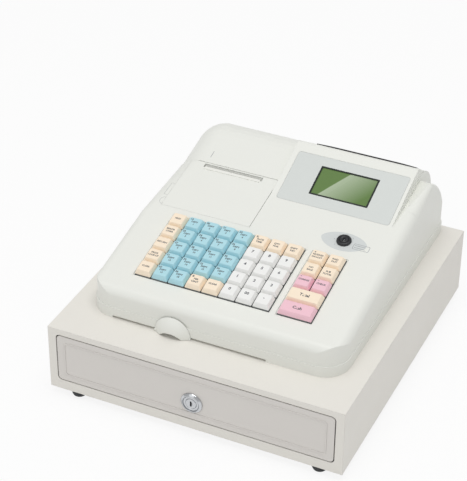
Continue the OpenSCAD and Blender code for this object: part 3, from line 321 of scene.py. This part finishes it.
def finished_mesh(name, shape, smooth_angle=SMOOTH):
    """A mesh whose faces all point outwards, smooth across every edge flatter than smooth_angle."""
    bmesh.ops.recalc_face_normals(shape, faces=shape.faces)
    soften(shape, smooth_angle)
    for face in shape.faces:
        face.smooth = True
    return mesh_of(name, shape)


def printed_mesh(name, shape):
    """A mesh with loose printed faces, which already point the right way."""
    soften(shape, SMOOTH)
    for face in shape.faces:
        face.smooth = face.material_index != INK_SLOT
    return mesh_of(name, shape)


def round_ring(half_x, half_y, radius, steps=4):
    """Points round a rectangle with round corners, anticlockwise from the right side's upper end."""
    points = []
    for corner, (sx, sy) in enumerate(((1, 1), (-1, 1), (-1, -1), (1, -1))):
        for i in range(steps + 1):
            a = math.radians(90 * corner + 90 * i / steps)
            x = sx * (half_x - radius) + radius * math.cos(a)
            y = sy * (half_y - radius) + radius * math.sin(a)
            points.append((x, y))
    return points


def shifted(points, x, y):
    """Points moved across."""
    return [(px + x, py + y) for px, py in points]


def skin(shape, rings, close_last=True, close_first=False):
    """Joins rings of corners with faces, and closes the ends. Returns the new faces."""
    faces = []
    for low, high in zip(rings, rings[1:]):
        for i in range(len(low)):
            j = (i + 1) % len(low)
            faces.append(shape.faces.new((low[i], low[j], high[j], high[i])))
    if close_last:
        faces.append(shape.faces.new(rings[-1]))
    if close_first:
        faces.append(shape.faces.new(rings[0][::-1]))
    return faces


# ---------------------------------------------------------------- key caps

# Rows up a cap's side: height over the deck, distance in from the cap's outline, corner radius
CAP_ROWS = (
    (-2.45, 0.9, 0.7),
    (-2.5, 0.0, 0.8),
    (0.75, 0.04, 0.88),
    (1.2, 0.05, 0.9),
    (1.5, 0.15, 1.0),
    (5.7, 1.75, 1.5),
    (6.15, 1.98, 1.6),
    (6.37, 2.35, 1.6),
)
SKIRT_ROWS = 3
TOP_INSET, TOP_R = CAP_ROWS[-1][1:]
TOP_SHARES = (0.9, 0.65, 0.35)
CAP_TOP, DISH = 6.4, 0.16
INK_LIFT, INK_MARGIN, INK_WEIGHT = 0.03, 0.7, 0.035


def dished(x, y, half_x, half_y):
    """Height of a key cap's top over the deck: a shallow dish, deepest in the middle."""
    return CAP_TOP - DISH * max(0.0, 1 - (x / half_x) ** 2) * max(0.0, 1 - (y / half_y) ** 2)


def cap_shape(shape, frame_of_key, width):
    """A moulded key cap: skirt, sloping sides, round shoulders and a dished top, hollow underneath."""
    half_x, half_y = width / 2, CAP / 2
    rings = []
    for w, inward, radius in CAP_ROWS:
        ring = round_ring(half_x - inward, half_y - inward, radius)
        rings.append([shape.verts.new(frame_of_key @ Vector((x, y, w))) for x, y in ring])
    top_x, top_y = half_x - TOP_INSET, half_y - TOP_INSET
    for share in TOP_SHARES:
        ring = round_ring(top_x * share, top_y * share, TOP_R * share)
        spots = [Vector((x, y, dished(x, y, top_x, top_y))) for x, y in ring]
        rings.append([shape.verts.new(frame_of_key @ spot) for spot in spots])
    # The skirt takes the painted shade of the gaps between caps
    for face in skin(shape, rings[:SKIRT_ROWS], close_last=False):
        face.material_index = SHADED_SKIRT_SLOT
    skin(shape, rings[SKIRT_ROWS - 1 :])


def legend_shape(shape, frame_of_key, width, words, size, at):
    """Printed letters that lie on a cap's dished top, narrowed where a word would run over its edge."""
    text = bpy.data.curves.new("legend", "FONT")
    text.body, text.size, text.align_x, text.align_y = words, size, "CENTER", "CENTER"
    text.resolution_u = 2
    text.offset = INK_WEIGHT * size
    held = bpy.data.objects.new("legend", text)
    flat = bpy.data.meshes.new_from_object(held)
    bpy.data.objects.remove(held)
    bpy.data.curves.remove(text)
    top_x, top_y = width / 2 - TOP_INSET, CAP / 2 - TOP_INSET
    reach = max(abs(vertex.co.x) for vertex in flat.vertices)
    stretch = min(1.0, (top_x - INK_MARGIN - abs(at[0])) / reach)
    corners = []
    for vertex in flat.vertices:
        x, y = vertex.co.x * stretch + at[0], vertex.co.y + at[1]
        spot = Vector((x, y, dished(x, y, top_x, top_y) + INK_LIFT))
        corners.append(shape.verts.new(frame_of_key @ spot))
    for polygon in flat.polygons:
        face = shape.faces.new([corners[i] for i in polygon.vertices])
        face.material_index = INK_SLOT
    bpy.data.meshes.remove(flat)


def key_frame(block, column, row, columns):
    """The middle of a key's cell on the deck."""
    x = BLOCK_X[block] + (column + columns / 2) * PITCH
    return Matrix.Translation((x, KEYS_V + (row + 0.5) * PITCH, 0))


def make_keys(node, slot, cap_material, keys, other_material=None, other_places=()):
    """One piece for the keys that travel together. A key is (block, column, row, columns, legends).

    The keys at other_places, which are (block, column, row), are moulded in other_material.
    """
    shape = bmesh.new()
    for block, column, row, columns, legends in keys:
        here = key_frame(block, column, row, columns)
        width = columns * PITCH - (PITCH - CAP)
        first = len(shape.faces)
        cap_shape(shape, here, width)
        shape.faces.ensure_lookup_table()
        if (block, column, row) in other_places:
            for face in shape.faces[first:]:
                face.material_index = face.material_index or OTHER_CAP_SLOT
        for words, size, x, y in legends:
            if words:
                legend_shape(shape, here, width, words, size, (x, y))
    settle(shape, DECK)
    for face in shape.faces:
        face.normal_update()
    materials = [cap_material, key_ink, key_skirt_shade] + ([other_material] if other_material else [])
    place_piece(node + "_caps", printed_mesh(node + "_caps", shape), node, slot, materials, node)


def two_lines(corner, upper, lower):
    """A small number in the corner and two short words, as on a preset key."""
    return [(corner, 3.4, -4.2, 4.1), (upper, 3.1, 0.2, 1.0), (lower, 3.1, 0.2, -2.7)]


def stacked(words):
    """One or two words in the middle of a cap."""
    return [(word, 3.0, 0, 1.8 * (len(words) - 1) - 3.6 * i) for i, word in enumerate(words)]


DIGIT_PLACES = [(5, 0), (5, 1), (6, 1), (7, 1), (5, 2), (6, 2), (7, 2), (5, 3), (6, 3), (7, 3)]
for digit, (column, row) in enumerate(DIGIT_PLACES):
    key = (0, column, row, 1, [(str(digit), 5.0, 0, 1.0)])
    make_keys(f"key_{digit}", "key_white", key_white, [key])

double_zero = (0, 6, 0, 1, [("00", 4.8, 0, 1.0)])
point = (0, 7, 0, 1, [("•", 4.0, 0, 0.6)])
make_keys("double_zero_and_point_keys", "key_white", key_white, [double_zero, point])

FIRST_PRESET = 19
department_places = [(c, r) for r in range(4, -1, -1) for c in range(1, 5) if c < 3 or r > 0]
department_keys = [
    (0, column, row, 1, two_lines(str(i + FIRST_PRESET), "DEPT", str(i + 1)))
    for i, (column, row) in enumerate(department_places)
]
make_keys("department_keys", "key_blue", key_blue, department_keys)

CLERK_WORDS = [("FEED",), ("ERROR", "CORR"), ("RETURN",), ("PRICE", "LOOK-UP"), ("CLERK",)]
clerk_keys = [(0, 0, 4 - i, 1, stacked(words)) for i, words in enumerate(CLERK_WORDS)]
clerk_keys.append((0, 3, 0, 1, two_lines("%", "PER", "CENT")))
clerk_keys.append((0, 4, 0, 1, [("CLEAR", 3.1, 0, 0.8)]))
make_keys("clerk_keys", "key_cream", key_cream, clerk_keys)

FUNCTION_WORDS = {
    (0, 5, 4): ("X", "DATE", "TIME"),
    (0, 6, 4): ("", "QTY", "FOR"),
    (0, 7, 4): ("", "SHIFT", "KEY"),
    (1, 0, 4): ("+", "RECEIVED", "ON ACCT"),
    (1, 1, 4): ("", "PAID", "OUT"),
    (1, 0, 3): ("", "NO", "SALE"),
    (1, 1, 3): ("", "SUB", "TOTAL"),
    (1, 0, 2): ("*", "CHARGE", ""),
    (1, 1, 2): ("*", "CHECK", ""),
}
function_keys = [(*place, 1, two_lines(*words)) for place, words in FUNCTION_WORDS.items()]
make_keys("function_keys", "key_cream", key_cream, function_keys, key_pink, {(1, 0, 2), (1, 1, 2)})
make_keys("total_key", "key_cream", key_cream, [(1, 0, 1, 2, [("Total", 5.0, 0, 0)])])
make_keys("cash_key", "key_pink", key_pink, [(1, 0, 0, 2, [("Cash", 5.0, 0, 0)])])


# ---------------------------------------------------------------- display


def thin_print(name, frame_of_face, outlines, slot, material, lift):
    """Flat printed shapes on the housing.

    Each outline is (outer, inner or None), both with the same number of points.
    """
    shape = bmesh.new()
    for outer, inner in outlines:
        outer_ring = [shape.verts.new((x, y, lift)) for x, y in outer]
        if inner:
            inner_ring = [shape.verts.new((x, y, lift)) for x, y in inner]
            skin(shape, [outer_ring, inner_ring], close_last=False)
        else:
            shape.faces.new(outer_ring)
    settle(shape, frame_of_face)
    return place_piece(name, printed_mesh(name, shape), "register", slot, [material])


# Black mask printed round the liquid crystal glass, and the glass itself under a bowed pane
SCREEN_X, SCREEN_V, SCREEN_W, SCREEN_H = 22.1, 16.2, 66.5, 39.0
MASK_OUT, MASK_IN = 0.5, -1.5
middle = (SCREEN_X + SCREEN_W / 2, SCREEN_V + SCREEN_H / 2)
mask_outer = shifted(round_ring(SCREEN_W / 2 + MASK_OUT, SCREEN_H / 2 + MASK_OUT, 0.8), *middle)
mask_inner = shifted(round_ring(SCREEN_W / 2 + MASK_IN, SCREEN_H / 2 + MASK_IN, 0.4), *middle)
thin_print("screen_mask", DISPLAY, [(mask_outer, mask_inner)], "black_plastic", mask_ink, 0.05)

PANE_EDGE, PANE_BOW, PANE_BACK = -0.45, 0.3, -2.5
PANE_COLUMNS, PANE_ROWS = 16, 10


def pane_corner(i, j):
    """A point of the bowed pane, i columns across and j rows up."""
    bow = PANE_BOW * math.sin(math.pi * i / PANE_COLUMNS) * math.sin(math.pi * j / PANE_ROWS)
    return SCREEN_X + SCREEN_W * i / PANE_COLUMNS, SCREEN_V + SCREEN_H * j / PANE_ROWS, PANE_EDGE + bow


pane = bmesh.new()
grid = [[pane.verts.new(pane_corner(i, j)) for i in range(PANE_COLUMNS + 1)] for j in range(PANE_ROWS + 1)]
for low, high in zip(grid, grid[1:]):
    for i in range(PANE_COLUMNS):
        pane.faces.new((low[i], low[i + 1], high[i + 1], high[i]))
edge_ring = grid[0] + [row[-1] for row in grid[1:]] + grid[-1][-2::-1] + [row[0] for row in grid[-2:0:-1]]
back_ring = [pane.verts.new((corner.co.x, corner.co.y, PANE_BACK)) for corner in edge_ring]
skin(pane, [back_ring, edge_ring], close_last=False, close_first=True)
settle(pane, DISPLAY)
pane_mesh = finished_mesh("screen_pane", pane)
place_piece("screen_pane", pane_mesh, "register", "lcd_glass", [lcd_glass], "lcd_window")

# Smoked window of the customer's display: a bowed bar that stands a little over the rear slope
BAR_X, BAR_STEPS = (3.3, 118.6), 28
BAR_SECTION = [
    (3.2, -2.4), (3.2, 1.0), (4.4, 2.0), (7.0, 2.35), (20.0, 2.2), (31.0, 1.5), (33.6, 0.8), (34.4, -2.4),
]
BAR_LOW, BAR_RISE, BAR_END = 0.35, 0.40, 0.25
bar = bmesh.new()
rings = []
for i in range(BAR_STEPS + 1):
    share = i / BAR_STEPS
    x = BAR_X[0] + (BAR_X[1] - BAR_X[0]) * share
    bow = min(1.0, 6 * share, 6 * (1 - share)) ** 0.5 if 0 < share < 1 else BAR_END
    lift = BAR_LOW + BAR_RISE * bow
    rings.append([bar.verts.new((x, t, w * lift if w > 0 else w)) for t, w in BAR_SECTION])
skin(bar, rings, close_first=True)
settle(bar, REAR_WINDOW)
bar_mesh = finished_mesh("customer_pane", bar, 50)
place_piece("customer_pane", bar_mesh, "register", "dark_window", [smoked_acrylic], "customer_window")


# ---------------------------------------------------------------- mode switch and drawer lock


def lens_outline(half_x, half_up, half_down, steps=16):
    """An eye shape with soft tips."""
    points = []
    for i in range(2 * steps):
        a = math.pi * i / steps
        side = 1 if math.sin(a) >= 0 else -1
        half_y = half_up if side > 0 else half_down
        points.append((half_x * math.cos(a), half_y * abs(math.sin(a)) ** 1.25 * side))
    return points


def turned(profile, frame_of_axis, name, segments, smooth_angle=SMOOTH, hollow=False, groove=None):
    """A shape turned on a lathe. profile is (radius, height), in millimetres.

    A solid's profile runs from the back to the front, and a hollow one's all the way round its section.
    groove is the range of radii whose floor takes the second material.
    """
    shape = bmesh.new()
    turns = [2 * math.pi * i / segments for i in range(segments)]
    rows = [[shape.verts.new((r * math.cos(a), r * math.sin(a), z)) for a in turns] for r, z in profile]
    if hollow:
        skin(shape, rows + rows[:1], close_last=False)
    else:
        skin(shape, rows, close_first=True)
    if groove:
        for face in shape.faces:
            spot = face.calc_center_median()
            if groove[0] < spot.xy.length < groove[1] and spot.z > 1:
                face.material_index = 1
    settle(shape, frame_of_axis)
    return finished_mesh(name, shape, smooth_angle)


def cut_keyway(mesh, frame_of_axis, half_x, half_y, depth, front, name):
    """Cuts a round-ended keyway into the front of a turned piece. Its walls take the second material."""
    shape = bmesh.new()
    ring = round_ring(half_x, half_y, min(half_x, half_y) * 0.95, 3)
    rings = [[shape.verts.new((x, y, z)) for x, y in ring] for z in (front - depth, front + 2)]
    skin(shape, rings, close_first=True)
    settle(shape, frame_of_axis)
    cutter = bpy.data.objects.new("cutter", finished_mesh("cutter", shape))
    blank = bpy.data.objects.new("blank", mesh)
    for held in (cutter, blank):
        bpy.context.scene.collection.objects.link(held)
    cut = blank.modifiers.new("keyway", "BOOLEAN")
    cut.operation, cut.object, cut.solver = "DIFFERENCE", cutter, "EXACT"
    bpy.context.view_layer.update()
    done = bpy.data.meshes.new_from_object(blank.evaluated_get(bpy.context.evaluated_depsgraph_get()))
    done.name = name
    to_face = frame_of_axis.inverted()
    near, rim = 0.05, 0.9
    for polygon in done.polygons:
        x, y, z = (to_face @ polygon.center) / MM
        beside = abs(x) < half_x + near and abs(y) < half_y + near
        if beside and front - depth - 2 * near < z < front - rim:
            polygon.material_index = 1
    for held in (cutter, blank):
        bpy.data.objects.remove(held)
    return done


# Grey field printed round the mode switch, a small legend frame beside it, and dots for its positions
SWITCH = (84.0, 140.0)
LEGEND_AT = (SWITCH[0] + 20.5, SWITCH[1] - 3.5)
DOT_CIRCLE, DOT_R = 10.6, 0.45
field = shifted(lens_outline(25.5, 12.5, 14.5), *SWITCH)
thin_print("switch_field", DECK, [(field, None)], "panel_film", field_ink, 0.03)
frame_outer = shifted(round_ring(9.0, 4.1, 1.4), *LEGEND_AT)
frame_inner = shifted(round_ring(8.5, 3.6, 1.1), *LEGEND_AT)
bars = [(shifted(round_ring(6.0, 0.35, 0.3), LEGEND_AT[0] - 1.5, LEGEND_AT[1] + y), None) for y in (1.5, -1.5)]
thin_print("switch_legend", DECK, [(frame_outer, frame_inner)] + bars, "black_plastic", faint_ink_and_groove_shade, 0.06)
dots = []
for degrees in (-135, -90, -45, 0, 45):
    a = math.radians(90 - degrees)
    x, y = SWITCH[0] + DOT_CIRCLE * math.cos(a), SWITCH[1] + DOT_CIRCLE * math.sin(a)
    dots.append((shifted(round_ring(DOT_R, DOT_R, 0.4), x, y), None))
thin_print("switch_ticks", DECK, dots, "black_plastic", faint_ink_and_groove_shade, 0.06)

# Mode switch: a collar with a sloping face and a fine groove, and the barrel with its keyway
SWITCH_AXIS = DECK @ Matrix.Translation(Vector((SWITCH[0], SWITCH[1], 0)) * MM)
COLLAR = [
    (4.9, -14), (6.3, -14), (6.3, -0.1), (8.0, 0.0), (8.0, 1.6), (7.5, 2.5), (6.9, 2.95),
    (6.4, 3.0), (6.3, 2.7), (6.0, 2.7), (5.9, 2.9), (5.3, 2.8), (4.95, 2.3),
]
BARREL = [(4.8, -14.9), (4.8, 2.7), (4.4, 3.2), (3.9, 3.35), (3.5, 3.1), (2.9, 3.0)]
collar = turned(COLLAR, SWITCH_AXIS, "switch_collar", 48, hollow=True)
place_piece("switch_collar", collar, "register", "black_plastic", [black_plastic], "mode_switch")
barrel = cut_keyway(turned(BARREL, SWITCH_AXIS, "barrel", 40), SWITCH_AXIS, 0.9, 3.0, 5.5, 3.3, "switch_barrel")
place_piece("switch_barrel", barrel, "mode_barrel", "black_plastic", [black_plastic] * 2, "mode_barrel")

# Drawer lock: a chromed collar with a bevel and a groove, and the plug with its keyway
LOCK_RING = [
    (6.05, -8.7), (8.3, -8.7), (8.3, -0.2), (12.0, 0.0), (12.0, 1.0), (11.7, 1.6), (11.0, 2.2), (10.0, 2.9),
    (9.5, 2.95), (9.2, 2.7), (9.0, 1.7), (8.6, 1.6), (8.4, 2.0), (8.2, 2.1), (6.5, 2.1), (6.2, 1.9), (6.05, 1.6),
]
# The groove's floor takes the duller, darker zinc plate: painted shade in the groove
LOCK_GROOVE_SHADE = (8.42, 9.4)
PLUG = [
    (3.0, -12.2), (3.0, -11), (1.5, -11), (1.5, -9), (6.0, -9),
    (6.0, 1.9), (5.6, 2.4), (5.0, 2.55), (4.4, 2.35), (3.6, 2.5),
]
ring = turned(LOCK_RING, DRAWER_FACE, "lock_collar", 64, 20, True, LOCK_GROOVE_SHADE)
place_piece("lock_collar", ring, "drawer", "lock_chrome", [chrome, zinc_plate], "lock_housing")
# The keyway's walls below its rim take black plastic: painted shade inside the keyway
plug = cut_keyway(turned(PLUG, DRAWER_FACE, "plug", 56, 25), DRAWER_FACE, 0.85, 3.3, 6.5, 2.6, "lock_face")
place_piece("lock_face", plug, "drawer_lock", "lock_chrome", [chrome, black_plastic], "lock_plug")


# ---------------------------------------------------------------- lines, ledges and seals


def divided(path, step=0.8):
    """A path with more points along it, about one step apart."""
    fine = []
    for (x0, v0), (x1, v1) in zip(path, path[1:]):
        count = max(1, round(math.hypot(x1 - x0, v1 - v0) / step))
        fine += [(x0 + (x1 - x0) * i / count, v0 + (v1 - v0) * i / count) for i in range(count)]
    return fine + [path[-1]]


def drape(name, node, body, paths, width):
    """Painted shade for fine grooves: dark strips that lie on a part. Each path is a list of (x, v) in the
    deck's frame.
    """
    above, lift = 60, 0.05
    ground = BVHTree.FromObject(parts[node], bpy.context.evaluated_depsgraph_get())
    out_of = parts[node].matrix_world
    into, down = out_of.inverted(), -(DECK.to_3x3() @ Vector((0, 0, 1)))
    shape = bmesh.new()
    for path in map(divided, paths):
        rows = []
        for i, (x, v) in enumerate(path):
            before, after = path[max(0, i - 1)], path[min(len(path) - 1, i + 1)]
            run = Vector((after[0] - before[0], after[1] - before[1])).normalized() * width / 2
            row = []
            for side in (-1, 1):
                start = DECK @ (Vector((x - side * run.y, v + side * run.x, above)) * MM)
                spot, normal = ground.ray_cast(into @ start, into.to_3x3() @ down)[:2]
                if spot:
                    row.append(shape.verts.new(out_of @ (spot + normal * lift * MM)))
            if len(row) == 2:
                rows.append(row)
        for (a, b), (c, d) in zip(rows, rows[1:]):
            shape.faces.new((a, b, d, c))
    for face in shape.faces:
        face.normal_update()
        if face.normal.dot(down) > 0:
            face.normal_flip()
    place_piece(name, printed_mesh(name, shape), body, "black_plastic", [faint_ink_and_groove_shade])


# Painted shade for the grooves of the press latch on the shell beside the printer's cover, and of the finger
# line on the lid
LATCH = [(-126.5, 141), (-126.5, 160), (-121.0, 160), (-121.0, 141), (-126.5, 141)]
ARC_AT, ARC_X, ARC_V = (-121.5, 131.5), 5.0, 5.5
arc_turns = [math.radians(a) for a in range(0, 181, 15)]
arc = [(ARC_AT[0] - ARC_X * math.sin(a), ARC_AT[1] + ARC_V * math.cos(a)) for a in arc_turns]
drape("latch_lines", "upper_shell", "register", [LATCH, arc], 0.3)
drape("lid_line", "paper_lid", "paper_lid", [[(-104, 212), (-104, 222)]], 0.6)

# Ledge inside the edge of each key well, a little under the deck, which hides the works beside the caps
WELL_GAP, LEDGE, ROWS, BLOCK_COLUMNS = 1.2, 1.05, 5, (8, 2)
LEDGE_OUT, LEDGE_IN, LEDGE_W = WELL_GAP - 0.02, WELL_GAP - LEDGE, (-3.2, -0.7)
ledges = bmesh.new()
for left, columns in zip(BLOCK_X, BLOCK_COLUMNS):
    half_x, half_v = columns * PITCH / 2, ROWS * PITCH / 2
    rings = []
    for outward, w in zip((LEDGE_OUT, LEDGE_OUT, LEDGE_IN, LEDGE_IN), LEDGE_W + LEDGE_W[::-1]):
        outline = shifted(round_ring(half_x + outward, half_v + outward, 0.4), left + half_x, KEYS_V + half_v)
        rings.append([ledges.verts.new((x, v, w)) for x, v in outline])
    skin(ledges, rings + rings[:1], close_last=False)
settle(ledges, DECK)
place_piece("well_ledges", finished_mesh("well_ledges", ledges), "register", "housing_abs", [housing_abs])

# Sloping chute that leads the receipt up out of its slot, hung on the slot's rear wall
CHUTE_X = (-104.9, -35.1)
CHUTE = ((201.05, -1.0), (201.05, -1.9), (199.0, -5.4), (198.5, -4.9))
chute = bmesh.new()
skin(chute, [[chute.verts.new((x, v, w)) for v, w in CHUTE] for x in CHUTE_X], close_first=True)
settle(chute, DECK)
place_piece("paper_chute", finished_mesh("paper_chute", chute, 25), "register", "housing_abs", [housing_abs])

# Foam strips inside the drawer's opening, which close the gap round the front and leave room for the runners
OPENING_X, OPENING_Z, OPENING_R, STRIP = 156.0, (20.5, 79.0), 5.0, 0.95
SEAL_Y = (-174.5, -171.5)
ABOVE_RUNNERS, BELOW_RUNNERS = 42.5, 28.5
middle_z, half_z = sum(OPENING_Z) / 2, (OPENING_Z[1] - OPENING_Z[0]) / 2
seal = bmesh.new()
for first, side, end_z in ((0, 1, ABOVE_RUNNERS), (10, -1, BELOW_RUNNERS)):
    paths = []
    for inward in (0.02, STRIP):
        outline = round_ring(OPENING_X - inward, half_z - inward, OPENING_R - inward)
        turn = shifted(outline, 0, middle_z)[first : first + 10]
        end = (OPENING_X - inward) * side
        paths.append([(end, end_z)] + turn + [(-end, end_z)])
    rings = []
    for outer, inner in zip(*paths):
        corners = ((outer, SEAL_Y[0]), (inner, SEAL_Y[0]), (inner, SEAL_Y[1]), (outer, SEAL_Y[1]))
        rings.append([seal.verts.new(Vector((x, y, z)) * MM) for (x, z), y in corners])
    skin(seal, rings, close_first=True)
place_piece("opening_seal", finished_mesh("opening_seal", seal), "register", "foot_rubber", [foot_rubber])


# ---------------------------------------------------------------- floor, light and camera


def show_white(tree, shader, share):
    """Mixes a share of plain white into a shader where the camera, a mirror or glass sees it."""
    path = add(tree, "ShaderNodeLightPath").outputs
    seen = path["Is Camera Ray"]
    for ray in ("Is Glossy Ray", "Is Transmission Ray"):
        seen = add(tree, "ShaderNodeMath", {"operation": "MAXIMUM"}, {0: seen, 1: path[ray]}).outputs[0]
    factor = add(tree, "ShaderNodeMath", {"operation": "MULTIPLY"}, {0: seen, 1: share}).outputs[0]
    glow = add(tree, "ShaderNodeEmission", None, {"Strength": 1.0}).outputs[0]
    return add(tree, "ShaderNodeMixShader", None, {0: factor, 1: shader, 2: glow}).outputs[0]


def make_floor():
    """A pale floor, wide enough to fill the view."""
    mesh = bpy.data.meshes.new("floor")
    half = 6.0
    corners = [(x * half, y * half, 0) for x, y in ((-1, -1), (1, -1), (1, 1), (-1, 1))]
    mesh.from_pydata(corners, [], [(0, 1, 2, 3)])
    floor = bpy.data.objects.new("floor", mesh)
    bpy.context.scene.collection.objects.link(floor)
    material, tree, place = start_material("white_floor")
    diffuse = add(tree, "ShaderNodeBsdfDiffuse", None, {"Color": linear("#f4f4f4")}).outputs[0]
    add(tree, "ShaderNodeOutputMaterial", None, {"Surface": show_white(tree, diffuse, 0.86)})
    mesh.materials.append(material)


def make_world():
    """Even light from all round, and white where the camera looks past the floor."""
    world = bpy.data.worlds.new("studio")
    world.use_nodes = True
    tree = world.node_tree
    tree.nodes.clear()
    path = add(tree, "ShaderNodeLightPath").outputs
    light = add(tree, "ShaderNodeBackground", None, {"Color": (1, 1, 1, 1), "Strength": 0.57}).outputs[0]
    white = add(tree, "ShaderNodeBackground", None, {"Color": (1, 1, 1, 1), "Strength": 1.0}).outputs[0]
    chosen = add(tree, "ShaderNodeMixShader", None, {0: path["Is Camera Ray"], 1: light, 2: white}).outputs[0]
    add(tree, "ShaderNodeOutputWorld", None, {"Surface": chosen})
    bpy.context.scene.world = world


def add_softbox(name, place, aim, size, power):
    """A square studio lamp."""
    lamp = bpy.data.lights.new(name, "AREA")
    lamp.shape, lamp.size, lamp.energy = "SQUARE", size, power
    held = bpy.data.objects.new(name, lamp)
    held.location = place
    held.rotation_euler = (Vector(aim) - Vector(place)).to_track_quat("-Z", "Y").to_euler()
    bpy.context.scene.collection.objects.link(held)


def make_camera():
    """The camera, over the front right corner of the box."""
    camera = bpy.data.objects.new("camera", bpy.data.cameras.new("camera"))
    place, aim = Vector((0.599433, -1.383257, 1.146168)), Vector((-0.036955, 0.0015, 0.121852))
    roll = math.radians(0.557)
    back = (place - aim).normalized()
    side = (-back).cross(Vector((0, 0, 1))).normalized()
    up = back.cross(side)
    right = math.cos(roll) * side + math.sin(roll) * up
    top = math.cos(roll) * up - math.sin(roll) * side
    camera.matrix_world = Matrix.Translation(place) @ Matrix((right, top, back)).transposed().to_4x4()
    camera.data.lens = 128.56
    camera.data.sensor_width = 36.0
    camera.data.clip_end = 50
    bpy.context.scene.collection.objects.link(camera)
    bpy.context.scene.camera = camera


make_floor()
make_world()
add_softbox("key_light", (0.2, -0.3, 2.5), (0, 0, 0.1), 1.5, 25)
add_softbox("fill_light", (-0.6, -2.2, 1.0), (0, 0, 0.1), 1.4, 4.0)
make_camera()
bpy.context.scene.view_settings.view_transform = "Standard"
